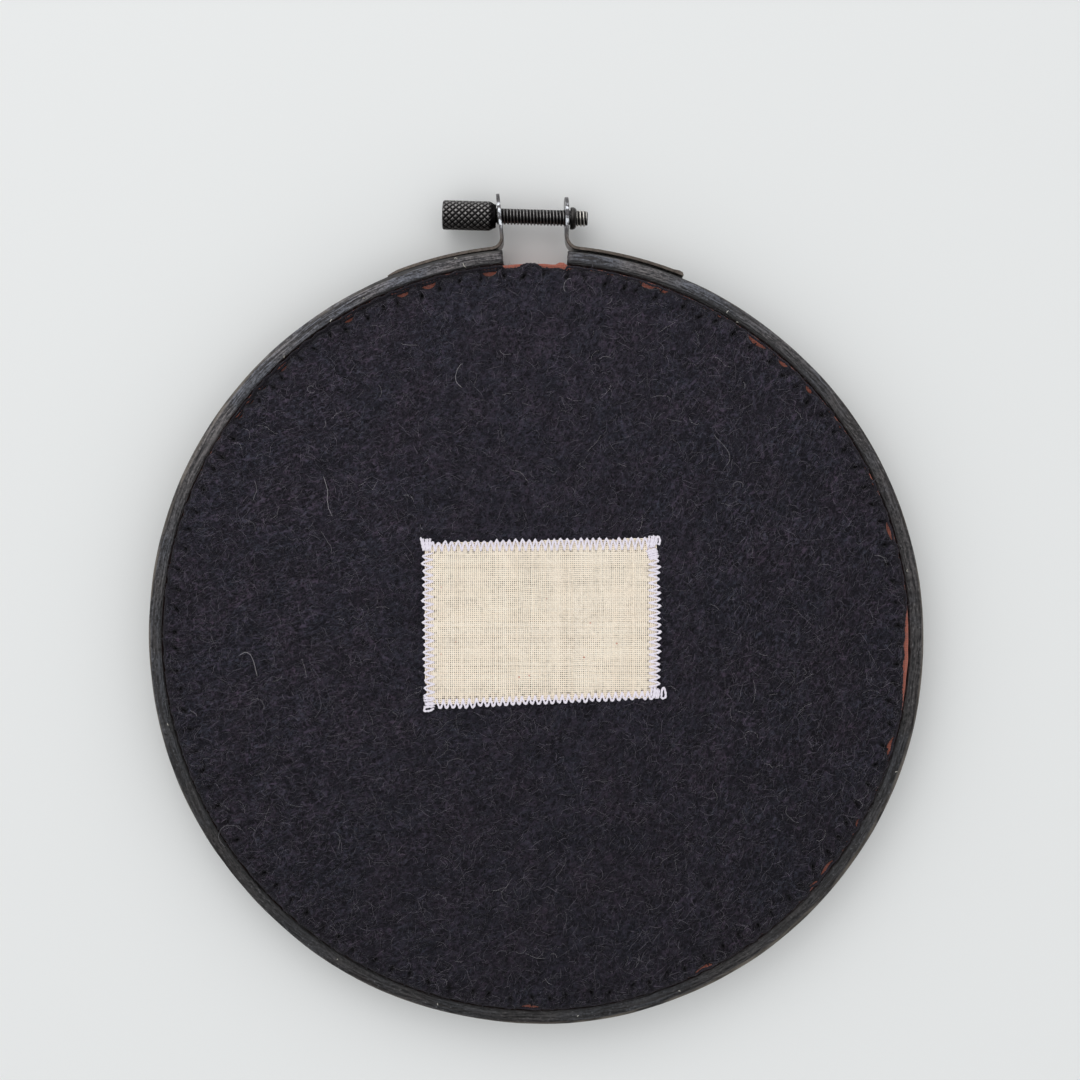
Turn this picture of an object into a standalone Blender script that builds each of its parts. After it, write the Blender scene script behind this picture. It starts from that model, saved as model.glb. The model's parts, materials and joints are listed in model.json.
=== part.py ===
"""Finished embroidery hoop, lying on its front with the sewn back facing up.

The front of the stretched cloth is at z = 0, the felt back faces +Z and the
screw clamp is at +Y. Lengths are in metres. A clock angle is in degrees,
clockwise from the clamp as seen from the back.
"""
import math

import bmesh
import bpy
from mathutils import Matrix, Vector
from mathutils.geometry import interpolate_bezier

MM = 0.001
PLAY = 0.3 * MM                      # gap between neighbouring pieces

# Stack, from the front face up
CLOTH = 1.0 * MM                     # cloth thickness
FELT = 1.2 * MM
LABEL = 1.0 * MM
INNER_DEPTH = 7.6 * MM               # depth of the inner ring
OUTER_DEPTH = 9.5 * MM               # depth of the outer ring
OUTER_LOW = 0.8 * MM                 # the cloth face stands this far in front of the outer ring
INNER_LOW = CLOTH + PLAY
INNER_HIGH = INNER_LOW + INNER_DEPTH
HEM_LOW = INNER_HIGH + PLAY
HEM_HIGH = HEM_LOW + CLOTH
FELT_LOW = HEM_HIGH + PLAY
FELT_HIGH = FELT_LOW + FELT
LABEL_LOW = FELT_HIGH + PLAY
OUTER_HIGH = OUTER_LOW + OUTER_DEPTH

# Rings
OUTER_RADIUS = 80.0 * MM             # 160 mm over the outer ring
RING_WALL = 3.0 * MM                 # radial width of each wooden ring
OUTER_BORE = OUTER_RADIUS - RING_WALL
CLOTH_RADIUS = OUTER_BORE - PLAY
INNER_RADIUS = CLOTH_RADIUS - CLOTH - PLAY
HEM_EDGE = 66.0 * MM                 # the hem reaches in to this radius
RING_ROUND = 0.7 * MM
INNER_ROUND = 0.6 * MM
CLOTH_ROUND = 1.2 * MM
OUTER_STEPS = 128
CLOTH_STEPS = 96
CUT_LEFT = -7.05 * MM                # x of the outer ring's two cut ends
CUT_RIGHT = 6.6 * MM

# Felt edge
STITCHES = 112                       # sewn stitches round the felt
POINTS_PER_STITCH = 3
FELT_RADIUS = 76.1 * MM
FELT_ROUND = 0.45 * MM
SCALLOP = 0.35 * MM                  # each stitch draws the edge in
DIMPLE = 0.35 * MM                   # and down
TOP_INSET = 0.5 * MM                 # the felt is smaller under the clamp
TOP_SPREAD = 42.0                    # degrees either side
FLAT_RADIUS = 71.0 * MM              # the felt is flat inside this

# Longer stretches where the felt stays short of the ring and the hem shows
HEM_WINDOWS = (
    # clock angle, half width (degrees), inset (mm)
    {"clock": 36.5, "half": 2.6, "inset": 0.5},
    {"clock": 72.5, "half": 2.2, "inset": 0.4},
    {"clock": 93.0, "half": 6.0, "inset": 0.9},
    {"clock": 107.0, "half": 2.4, "inset": 0.5},
    {"clock": 129.0, "half": 2.6, "inset": 0.6},
    {"clock": 153.0, "half": 2.2, "inset": 0.4},
    {"clock": 181.0, "half": 2.6, "inset": 0.5},
    {"clock": 307.0, "half": 2.6, "inset": 0.4},
    {"clock": 329.5, "half": 1.8, "inset": 0.4},
    {"clock": 342.0, "half": 2.4, "inset": 0.5},
)

# Label corners, clockwise from top left, x and y in mm
LABEL_CORNERS = (
    {"x": -23.3, "y": 20.0},
    {"x": 25.4, "y": 20.4},
    {"x": 26.5, "y": -12.6},
    {"x": -22.7, "y": -15.4},
)
LABEL_ROUND = 0.9 * MM

# Thumbscrew, along its own x axis from the clamp's middle plane
SCREW_Y = 87.1 * MM
SCREW_Z = (OUTER_LOW + OUTER_HIGH) / 2
SCREW_TILT = -1.6                    # degrees about z
HEAD_START = -19.5 * MM
HEAD_END = -8.4 * MM
HEAD_RADIUS = 2.9 * MM
HEAD_CHAMFER = 0.4 * MM
NECK_RADIUS = 2.5 * MM
NECK_LENGTH = 1.2 * MM
ROD_RADIUS = 1.6 * MM
ROD_END = 10.7 * MM
ROD_CHAMFER = 0.35 * MM
SCREW_SIDES = 32

# Clamp brackets, one bent strip of sheet metal on each side
METAL = 0.7 * MM
STRAP_WIDTH = 8.0 * MM
STRAP_RADIUS = OUTER_RADIUS + PLAY + METAL / 2
EDGE_CHAMFER = 0.12 * MM
BEND_REACH = 2.3 * MM                # the bend starts this far from the corner
HOLE_RADIUS = ROD_RADIUS + 0.35 * MM
HOLE_SIDES = 32
STRAP_STEPS = 14
BEND_STEPS = 6
EAR_STEPS = 5
CROWN_STEPS = 7
LAST_CROWN = 80.0                    # degrees round the ear's rounded top

BRACKETS = (
    # foot: x where the ear meets the strap, lean: outward degrees, end: clock angle of the strap's end
    {"name": "clamp_bracket_left", "side": -1, "foot": 6.88, "top": 92.0, "lean": 5.7,
     "twist": 0.0, "end": 22.4, "tip": "tapered"},
    {"name": "clamp_bracket_right", "side": 1, "foot": 6.36, "top": 91.3, "lean": -0.6,
     "twist": 3.2, "end": 22.2, "tip": "curled"},
)
TAPER_LENGTH = 2.8 * MM
TAPER_METAL = 0.3 * MM
CURL_LENGTH = 2.2 * MM
CURL_METAL = 1.0 * MM

# Nut on the outer side of the right ear
NUT_START = 7.15 * MM
NUT_LENGTH = 1.1 * MM
NUT_RADIUS = 2.3 * MM
NUT_BORE = ROD_RADIUS + PLAY
NUT_DOME = 0.25 * MM

SMOOTH_ANGLE = math.radians(35.0)

COLOURS = {
    "stained_wood": {"colour": (0.045, 0.045, 0.047), "roughness": 0.55, "metallic": 0.0},
    "plain_wood": {"colour": (0.050, 0.045, 0.042), "roughness": 0.6, "metallic": 0.0},
    "cotton": {"colour": (0.40, 0.125, 0.088), "roughness": 0.9, "metallic": 0.0},
    "wool_felt": {"colour": (0.017, 0.015, 0.022), "roughness": 0.95, "metallic": 0.0},
    "label_cotton": {"colour": (0.83, 0.74, 0.60), "roughness": 0.9, "metallic": 0.0},
    "gunmetal": {"colour": (0.14, 0.13, 0.12), "roughness": 0.35, "metallic": 1.0},
    "screw_steel": {"colour": (0.10, 0.095, 0.095), "roughness": 0.3, "metallic": 1.0},
}


def clear_scene():
    for old in list(bpy.data.objects):
        bpy.data.objects.remove(old, do_unlink=True)


def make_material(name):
    look = COLOURS[name]
    made = bpy.data.materials.new(name)
    made.use_nodes = True
    shader = made.node_tree.nodes["Principled BSDF"]
    shader.inputs["Base Color"].default_value = (*look["colour"], 1.0)
    shader.inputs["Roughness"].default_value = look["roughness"]
    shader.inputs["Metallic"].default_value = look["metallic"]
    return made


def add_object(name, bm, material_name):
    """Turn the bmesh into an object with outward faces and its own material."""
    bmesh.ops.recalc_face_normals(bm, faces=bm.faces)
    if bm.calc_volume(signed=True) < 0.0:
        bmesh.ops.reverse_faces(bm, faces=bm.faces)
    mesh = bpy.data.meshes.new(name)
    bm.to_mesh(mesh)
    bm.free()
    mesh.shade_smooth()
    mesh.set_sharp_from_angle(angle=SMOOTH_ANGLE)
    mesh.materials.append(make_material(material_name))
    piece = bpy.data.objects.new(name, mesh)
    bpy.context.scene.collection.objects.link(piece)
    return piece


def clock_point(radius, clock, z):
    angle = math.radians(clock)
    return Vector((radius * math.sin(angle), radius * math.cos(angle), z))


def loft(bm, loops):
    """Join neighbouring closed loops of vertices with quads."""
    for low, high in zip(loops, loops[1:]):
        for i in range(len(low)):
            j = (i + 1) % len(low)
            bm.faces.new((low[i], low[j], high[j], high[i]))


def loop_of(bm, points):
    return [bm.verts.new(point) for point in points]


def rounded_corner(centre_r, centre_z, radius, start, steps=2):
    """A quarter circle of (r, z) points from the start angle in degrees."""
    turns = [math.radians(start + 90.0 * k / steps) for k in range(steps + 1)]
    return [(centre_r + radius * math.cos(a), centre_z + radius * math.sin(a)) for a in turns]


def ring_section(inside, outside, low, high, rounding):
    """Rounded rectangle in (r, z), counter-clockwise from its lower right corner."""
    return (rounded_corner(outside - rounding, low + rounding, rounding, -90.0)
            + rounded_corner(outside - rounding, high - rounding, rounding, 0.0)
            + rounded_corner(inside + rounding, high - rounding, rounding, 90.0)
            + rounded_corner(inside + rounding, low + rounding, rounding, 180.0))


def make_outer_ring():
    """Bent strip of wood, open under the clamp."""
    section = ring_section(OUTER_BORE, OUTER_RADIUS, OUTER_LOW, OUTER_HIGH, RING_ROUND)
    middle = (OUTER_BORE + OUTER_RADIUS) / 2
    start = math.degrees(math.asin(CUT_RIGHT / middle))
    stop = 360.0 + math.degrees(math.asin(CUT_LEFT / middle))
    bm = bmesh.new()
    loops = []
    for k in range(OUTER_STEPS + 1):
        clock = start + (stop - start) * k / OUTER_STEPS
        loops.append(loop_of(bm, [clock_point(r, clock, z) for r, z in section]))
    loft(bm, loops)
    bm.faces.new(loops[0])
    bm.faces.new(loops[-1])
    return add_object("outer_ring", bm, "stained_wood")


def make_inner_ring():
    """Closed wooden ring that the cloth is stretched over."""
    section = ring_section(INNER_RADIUS - RING_WALL, INNER_RADIUS, INNER_LOW, INNER_HIGH, INNER_ROUND)
    bm = bmesh.new()
    loops = []
    for k in range(CLOTH_STEPS):
        clock = 360.0 * k / CLOTH_STEPS
        loops.append(loop_of(bm, [clock_point(r, clock, z) for r, z in section]))
    loft(bm, loops + loops[:1])
    return add_object("inner_ring", bm, "plain_wood")


def make_front_cloth():
    """Cloth over the front, up between the rings and turned in over the back as a hem."""
    wall = CLOTH_RADIUS - CLOTH
    step = CLOTH_ROUND - CLOTH + PLAY
    profile = [(CLOTH_RADIUS - 2.0 * CLOTH_ROUND, 0.0)]
    profile += rounded_corner(CLOTH_RADIUS - CLOTH_ROUND, CLOTH_ROUND, CLOTH_ROUND, -90.0)
    profile += rounded_corner(CLOTH_RADIUS - CLOTH_ROUND, HEM_HIGH - CLOTH_ROUND, CLOTH_ROUND, 0.0)
    profile += [(HEM_EDGE, HEM_HIGH), (HEM_EDGE, HEM_LOW)]
    profile += [(wall - step, HEM_LOW), (wall, HEM_LOW - step)]
    profile += [(wall, CLOTH + step), (wall - step, CLOTH)]
    bm = bmesh.new()
    loops = []
    for r, z in profile:
        clocks = [360.0 * k / CLOTH_STEPS for k in range(CLOTH_STEPS)]
        loops.append(loop_of(bm, [clock_point(r, clock, z) for clock in clocks]))
    loft(bm, loops)
    bm.faces.new(loops[0])
    bm.faces.new(loops[-1])
    return add_object("front_cloth", bm, "cotton")


def window_inset(clock):
    """How far the felt's edge stays back at this clock angle, past its scallops."""
    away = abs((clock + 180.0) % 360.0 - 180.0)
    inset = TOP_INSET * max(0.0, 1.0 - (away / TOP_SPREAD) ** 2)
    for window in HEM_WINDOWS:
        off = abs((clock - window["clock"] + 180.0) % 360.0 - 180.0) / window["half"]
        if off < 1.0:
            inset += window["inset"] * MM * (1.0 - off * off)
    return inset


def make_felt_backing():
    """Round of felt, drawn in and down by each stitch along its edge."""
    count = STITCHES * POINTS_PER_STITCH
    bm = bmesh.new()
    rows = {name: [] for name in ("flat", "shoulder", "rim", "foot", "under")}
    for k in range(count):
        clock = 360.0 * k / count
        pull = 0.5 + 0.5 * math.cos(2.0 * math.pi * k / POINTS_PER_STITCH)
        edge = FELT_RADIUS - SCALLOP * pull - window_inset(clock)
        dip = DIMPLE * pull
        rows["flat"].append(clock_point(FLAT_RADIUS, clock, FELT_HIGH))
        rows["shoulder"].append(clock_point(edge - FELT_ROUND * 2.0, clock, FELT_HIGH - dip / 2))
        rows["rim"].append(clock_point(edge, clock, FELT_HIGH - FELT_ROUND - dip))
        rows["foot"].append(clock_point(edge, clock, FELT_LOW + FELT_ROUND / 2))
        rows["under"].append(clock_point(edge - FELT_ROUND, clock, FELT_LOW))
    loops = [loop_of(bm, points) for points in rows.values()]
    loft(bm, loops)
    bm.faces.new(loops[0])
    bm.faces.new(loops[-1])
    return add_object("felt_backing", bm, "wool_felt")


def make_label():
    """Four-sided cloth label, a little out of square, with soft corners."""
    corners = [Vector((row["x"] * MM, row["y"] * MM, 0.0)) for row in LABEL_CORNERS]
    outline = []
    for i, corner in enumerate(corners):
        before = (corners[i - 1] - corner).normalized() * LABEL_ROUND
        after = (corners[(i + 1) % len(corners)] - corner).normalized() * LABEL_ROUND
        outline += interpolate_bezier(corner + before, corner + before * 0.45,
                                      corner + after * 0.45, corner + after, 4)
    bm = bmesh.new()
    low = loop_of(bm, [point + Vector((0, 0, LABEL_LOW)) for point in outline])
    high = loop_of(bm, [point + Vector((0, 0, LABEL_LOW + LABEL)) for point in outline])
    loft(bm, [low, high])
    bm.faces.new(low)
    bm.faces.new(high)
    return add_object("label", bm, "label_cotton")


def strap_metal(tip, distance):
    """Thickness of the strap at a distance from its free end."""
    if tip == "tapered":
        share = min(1.0, distance / TAPER_LENGTH)
        return TAPER_METAL + (METAL - TAPER_METAL) * math.sin(share * math.pi / 2)
    if distance > CURL_LENGTH:
        return METAL
    share = distance / CURL_LENGTH
    bulge = math.sin(math.pi * share ** 0.6)
    return METAL * (0.55 + 0.45 * share ** 0.4) + (CURL_METAL - METAL) * bulge


def bracket_path(row):
    """Middle line of one bracket from its strap's end to the ear's top.

    Each station has its point, metal thickness, width and twist.
    """
    side = row["side"]
    foot = row["foot"] * MM
    corner = Vector((side * foot, math.sqrt(STRAP_RADIUS ** 2 - foot ** 2), 0.0))
    lean = math.radians(row["lean"])
    along_ear = Vector((side * math.sin(lean), math.cos(lean), 0.0))
    corner_clock = math.degrees(math.asin(foot / STRAP_RADIUS))
    bend_clock = corner_clock + math.degrees(BEND_REACH / STRAP_RADIUS)
    stations = []
    for k in range(STRAP_STEPS + 1):
        share = (k / STRAP_STEPS) ** 1.5
        clock = row["end"] + (bend_clock - row["end"]) * share
        distance = math.radians(row["end"] - clock) * STRAP_RADIUS
        point = clock_point(STRAP_RADIUS, side * clock, 0.0)
        stations.append((point, strap_metal(row["tip"], distance), STRAP_WIDTH, 0.0))
    start = stations[-1][0]
    finish = corner + along_ear * BEND_REACH
    pull = 0.55
    bend = interpolate_bezier(start, start.lerp(corner, pull), finish.lerp(corner, pull), finish,
                              BEND_STEPS + 1)
    stations += [(point, METAL, STRAP_WIDTH, 0.0) for point in bend[1:]]
    ear_length = (row["top"] * MM - finish.y) / math.cos(lean)
    crown = STRAP_WIDTH / 2
    straight = ear_length - crown
    for k in range(1, EAR_STEPS + 1):
        share = k / EAR_STEPS
        twist = row["twist"] * share
        stations.append((finish + along_ear * straight * share, METAL, STRAP_WIDTH, twist))
    for k in range(1, CROWN_STEPS + 1):
        turn = math.radians(LAST_CROWN * k / CROWN_STEPS)
        point = finish + along_ear * (straight + crown * math.sin(turn))
        stations.append((point, METAL, STRAP_WIDTH * math.cos(turn), row["twist"]))
    return stations


def bracket_section(station, tangent, outward):
    """Chamfered rectangle across the metal strip at one station."""
    point, metal, width, twist = station
    turn = Matrix.Rotation(math.radians(twist), 3, tangent)
    across = turn @ outward
    upward = turn @ Vector((0.0, 0.0, 1.0))
    low, high = -METAL / 2, metal - METAL / 2
    half = width / 2
    cut = EDGE_CHAMFER
    shape = ((low, -half + cut), (low + cut, -half), (high - cut, -half), (high, -half + cut),
             (high, half - cut), (high - cut, half), (low + cut, half), (low, half - cut))
    centre = point + Vector((0.0, 0.0, SCREW_Z))
    return [centre + across * a + upward * b for a, b in shape]


def make_bracket(row):
    """Strap along the ring's outside, bent out into an ear with a hole for the screw."""
    stations = bracket_path(row)
    bm = bmesh.new()
    loops = []
    for i, station in enumerate(stations):
        before = stations[max(i - 1, 0)][0]
        after = stations[min(i + 1, len(stations) - 1)][0]
        tangent = (after - before).normalized()
        outward = Vector((tangent.y, -tangent.x, 0.0)) * row["side"]
        loops.append(loop_of(bm, bracket_section(station, tangent, outward)))
    loft(bm, loops)
    bm.faces.new(loops[0])
    bm.faces.new(loops[-1])
    bracket = add_object(row["name"], bm, "gunmetal")
    hole = bracket.modifiers.new("screw_hole", "BOOLEAN")
    hole.operation = "DIFFERENCE"
    hole.solver = "EXACT"
    hole.object = make_hole_cutter(row)
    return bracket


def make_hole_cutter(row):
    bm = bmesh.new()
    along_screw = Matrix.Rotation(math.radians(90.0), 4, "Y")
    bmesh.ops.create_cone(bm, cap_ends=True, segments=HOLE_SIDES, radius1=HOLE_RADIUS,
                          radius2=HOLE_RADIUS, depth=4.0 * MM, matrix=along_screw)
    cutter = add_object("hole_cutter_" + row["name"], bm, "gunmetal")
    cutter.matrix_world = screw_matrix() @ Matrix.Translation((row["side"] * 7.0 * MM, 0.0, 0.0))
    cutter.hide_render = True
    cutter.display_type = "WIRE"
    return cutter


def screw_matrix():
    """The screw's own x axis, placed in the clamp."""
    return Matrix.Translation((0.0, SCREW_Y, SCREW_Z)) @ Matrix.Rotation(math.radians(SCREW_TILT), 4, "Z")


def turned_loops(bm, profile, sides):
    """Loops round the x axis through (x, radius) points."""
    loops = []
    for x, radius in profile:
        turns = [2.0 * math.pi * k / sides for k in range(sides)]
        loops.append(loop_of(bm, [(x, radius * math.cos(a), radius * math.sin(a)) for a in turns]))
    return loops


def make_thumbscrew():
    """Knurled head, neck and threaded rod, turned in one piece."""
    profile = (
        (HEAD_START, HEAD_RADIUS - HEAD_CHAMFER),
        (HEAD_START + HEAD_CHAMFER, HEAD_RADIUS),
        (HEAD_END - NECK_LENGTH, HEAD_RADIUS),
        (HEAD_END - HEAD_CHAMFER, NECK_RADIUS + 0.1 * MM),
        (HEAD_END, NECK_RADIUS),
        (HEAD_END, ROD_RADIUS),
        (ROD_END - ROD_CHAMFER, ROD_RADIUS),
        (ROD_END, ROD_RADIUS - ROD_CHAMFER),
    )
    bm = bmesh.new()
    loops = turned_loops(bm, profile, SCREW_SIDES)
    loft(bm, loops)
    bm.faces.new(loops[0])
    bm.faces.new(loops[-1])
    screw = add_object("thumbscrew", bm, "screw_steel")
    screw.matrix_world = screw_matrix()
    return screw


def make_nut():
    """Small domed nut that the rod screws through."""
    end = NUT_START + NUT_LENGTH
    profile = (
        (NUT_START, NUT_BORE),
        (NUT_START, NUT_RADIUS),
        (end - NUT_DOME, NUT_RADIUS),
        (end - NUT_DOME * 0.35, NUT_RADIUS - NUT_DOME * 0.3),
        (end, NUT_RADIUS - NUT_DOME),
        (end, NUT_BORE),
    )
    bm = bmesh.new()
    loops = turned_loops(bm, profile, SCREW_SIDES)
    loft(bm, loops + loops[:1])
    nut = add_object("clamp_nut", bm, "screw_steel")
    nut.matrix_world = screw_matrix()
    return nut


def main():
    clear_scene()
    make_outer_ring()
    make_inner_ring()
    make_front_cloth()
    make_felt_backing()
    make_label()
    for row in BRACKETS:
        make_bracket(row)
    make_thumbscrew()
    make_nut()


main()
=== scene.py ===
import json
import math

import bpy
import numpy as np
from mathutils import Matrix, Vector


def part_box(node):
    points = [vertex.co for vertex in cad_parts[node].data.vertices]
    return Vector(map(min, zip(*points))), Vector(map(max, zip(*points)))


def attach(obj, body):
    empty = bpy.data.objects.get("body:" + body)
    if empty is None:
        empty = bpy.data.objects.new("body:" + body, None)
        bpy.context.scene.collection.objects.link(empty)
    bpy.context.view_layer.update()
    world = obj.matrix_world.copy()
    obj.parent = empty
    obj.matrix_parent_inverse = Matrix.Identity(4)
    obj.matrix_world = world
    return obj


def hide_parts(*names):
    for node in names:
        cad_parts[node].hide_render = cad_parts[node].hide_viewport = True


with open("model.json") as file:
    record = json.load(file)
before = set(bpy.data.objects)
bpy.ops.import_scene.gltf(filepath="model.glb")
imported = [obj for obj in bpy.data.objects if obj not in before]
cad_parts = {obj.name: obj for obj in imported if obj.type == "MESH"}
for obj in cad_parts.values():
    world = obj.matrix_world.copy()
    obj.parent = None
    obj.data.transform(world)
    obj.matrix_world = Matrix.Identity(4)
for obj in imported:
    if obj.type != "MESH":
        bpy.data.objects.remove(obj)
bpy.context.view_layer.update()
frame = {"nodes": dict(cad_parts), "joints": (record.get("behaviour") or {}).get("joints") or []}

MM = 0.001
TURN = 2.0 * math.pi
rng = np.random.default_rng(606)

# Places read from the frame
RING_LOW, RING_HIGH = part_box("outer_ring")
FELT_LOW, FELT_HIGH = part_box("felt_backing")
CLOTH_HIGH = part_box("front_cloth")[1]
LABEL_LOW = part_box("label")[0]
NUT_LOW, NUT_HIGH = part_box("clamp_nut")
SCREW_JOINT = next(joint for joint in frame["joints"] if joint["name"] == "thumbscrew_turn")
SCREW_AXIS = -Vector(SCREW_JOINT["axis"]).normalized()
SCREW_POINT = Vector(SCREW_JOINT["pos_m"])

OUTER_RADIUS = RING_HIGH.x
RING_WALL = 3.0 * MM
OUTER_BORE = OUTER_RADIUS - RING_WALL
CLOTH_RADIUS = CLOTH_HIGH.x
HEM_TOP = CLOTH_HIGH.z
RING_TOP = RING_HIGH.z
FELT_TOP = FELT_HIGH.z + 0.1 * MM

# The outer ring's cut ends, as x
CUT_LEFT = -7.05 * MM
CUT_RIGHT = 6.6 * MM

# The hoop isn't quite round: it is widest along this clock angle
OVAL = 0.0041
OVAL_CLOCK = 135.0

# The felt and the hem sit a little off the outer ring's middle, away from this clock angle
SHIFT = 0.20 * MM
SHIFT_CLOCK = 45.0

# Stitches round the felt
STITCHES = 112
PIT_RADIUS = 74.35 * MM
FELT_RADIUS = 76.62 * MM

# Radius at which the sewing's long run lies, against the wood
RUN_RADIUS = 76.50 * MM

# Places where the felt stays short of the sewing and the hem shows, or stands further out
HEM_WINDOWS = (
    # clock angle, half width (degrees), inset (mm)
    {"clock": 2.9, "half": 2.9, "inset": 0.50},
    {"clock": 17.6, "half": 1.2, "inset": 0.90},
    {"clock": 20.3, "half": 0.7, "inset": 0.70},
    {"clock": 36.9, "half": 1.9, "inset": 0.85},
    {"clock": 42.0, "half": 1.0, "inset": 0.75},
    {"clock": 47.8, "half": 0.9, "inset": 0.75},
    {"clock": 73.4, "half": 1.6, "inset": 0.80},
    {"clock": 93.0, "half": 7.0, "inset": 0.85},
    {"clock": 107.2, "half": 1.7, "inset": 0.85},
    {"clock": 120.0, "half": 0.7, "inset": 0.75},
    {"clock": 128.5, "half": 1.6, "inset": 0.90},
    {"clock": 132.0, "half": 1.0, "inset": 0.70},
    {"clock": 153.2, "half": 1.8, "inset": 0.75},
    {"clock": 181.0, "half": 2.0, "inset": 0.80},
    {"clock": 306.8, "half": 1.0, "inset": 0.90},
    {"clock": 309.4, "half": 0.8, "inset": 0.90},
    {"clock": 312.3, "half": 0.9, "inset": 0.75},
    {"clock": 316.8, "half": 1.0, "inset": 0.95},
    {"clock": 329.5, "half": 1.0, "inset": 0.95},
    {"clock": 338.8, "half": 1.1, "inset": 1.10},
    {"clock": 343.0, "half": 1.25, "inset": 1.20},
    {"clock": 352.8, "half": 1.3, "inset": 1.45},
    {"clock": 356.2, "half": 1.5, "inset": 0.45},
    {"clock": 359.2, "half": 1.5, "inset": -0.50},
)

# The window where no run of the sewing hides the hem: clock angle and half width (degrees)
BARE_WINDOW = {"clock": 93.0, "half": 7.5}

# The label's cut edge, clockwise from top left, in mm
LABEL_CORNERS = (
    {"x": -23.15, "y": 19.30},
    {"x": 24.85, "y": 20.38},
    {"x": 24.75, "y": -12.45},
    {"x": -22.75, "y": -14.05},
)

# Zigzag sewing: each side's run between its outer and its inner line, in mm
ZIGZAG_SIDES = (
    {"side": "top", "outer": ((-22.0, 19.50), (23.0, 20.40)), "inner": ((-22.0, 17.60), (23.0, 17.95)),
     "loops": 34},
    {"side": "right", "outer": ((25.25, 16.30), (25.45, -10.25)), "inner": ((23.10, 16.30), (23.20, -10.25)),
     "loops": 20},
    {"side": "bottom", "outer": ((24.4, -12.65), (-20.4, -14.80)), "inner": ((24.4, -11.05), (-20.4, -12.91)),
     "loops": 33},
    {"side": "left", "outer": ((-22.90, -12.75), (-23.35, 17.25)), "inner": ((-20.85, -12.75), (-21.25, 17.25)),
     "loops": 20},
)

# Packed stitches at the corners, where the sewing turned
CORNER_BLOCKS = (
    # centre (mm), length along the strands and width across them (mm), heading (degrees), narrowing
    {"x": -22.65, "y": 18.95, "length": 2.4, "width": 1.45, "heading": 92.0, "strands": 5, "narrow": 0.3},
    {"x": 23.80, "y": 19.50, "length": 2.3, "width": 1.3, "heading": 80.0, "strands": 4, "narrow": 0.1},
    {"x": 23.95, "y": 17.05, "length": 2.0, "width": 1.75, "heading": 15.0, "strands": 6, "narrow": 0.0},
    {"x": 24.45, "y": -11.55, "length": 2.0, "width": 1.5, "heading": 82.0, "strands": 5, "narrow": 0.0},
    {"x": -22.00, "y": -13.45, "length": 1.9, "width": 1.7, "heading": 4.0, "strands": 5, "narrow": 0.0},
)

# Single loops of thread that stand out at the corners, in mm
CORNER_LOOPS = (
    ((25.69, -12.52), (25.75, -11.50), (25.92, -10.62), (26.12, -10.38), (26.42, -10.90), (26.58, -11.80),
     (26.50, -12.42), (26.05, -12.62), (25.75, -12.50)),
    ((24.70, 19.00), (24.75, 20.20), (25.02, 20.62), (25.32, 20.20), (25.36, 19.40), (25.12, 18.90)),
    ((-22.85, -14.50), (-23.00, -15.05), (-22.60, -15.22), (-21.80, -15.12), (-21.00, -14.70)),
)

# Bits of light lint and chips on the wood
SPECKS = (
    # clock angle, radius, length (mm), heading (degrees)
    {"clock": 30.5, "radius": 78.0, "length": 0.7, "heading": 70.0},
    {"clock": 32.6, "radius": 77.2, "length": 0.5, "heading": 20.0},
    {"clock": 79.9, "radius": 77.8, "length": 0.6, "heading": 100.0},
    {"clock": 110.6, "radius": 79.1, "length": 0.5, "heading": 40.0},
    {"clock": 158.0, "radius": 78.6, "length": 0.5, "heading": 10.0},
    {"clock": 173.7, "radius": 78.6, "length": 0.4, "heading": 85.0},
    {"clock": 195.0, "radius": 78.6, "length": 0.5, "heading": 120.0},
    {"clock": 211.6, "radius": 78.4, "length": 0.4, "heading": 60.0},
    {"clock": 256.6, "radius": 78.2, "length": 0.6, "heading": 150.0},
    {"clock": 318.0, "radius": 77.3, "length": 0.6, "heading": 95.0},
    {"clock": 327.0, "radius": 77.4, "length": 0.7, "heading": 80.0},
    {"clock": 333.0, "radius": 78.0, "length": 0.5, "heading": 35.0},
    {"clock": 348.0, "radius": 79.6, "length": 0.7, "heading": 15.0},
    {"clock": 349.0, "radius": 77.9, "length": 1.3, "heading": 130.0},
)

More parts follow.
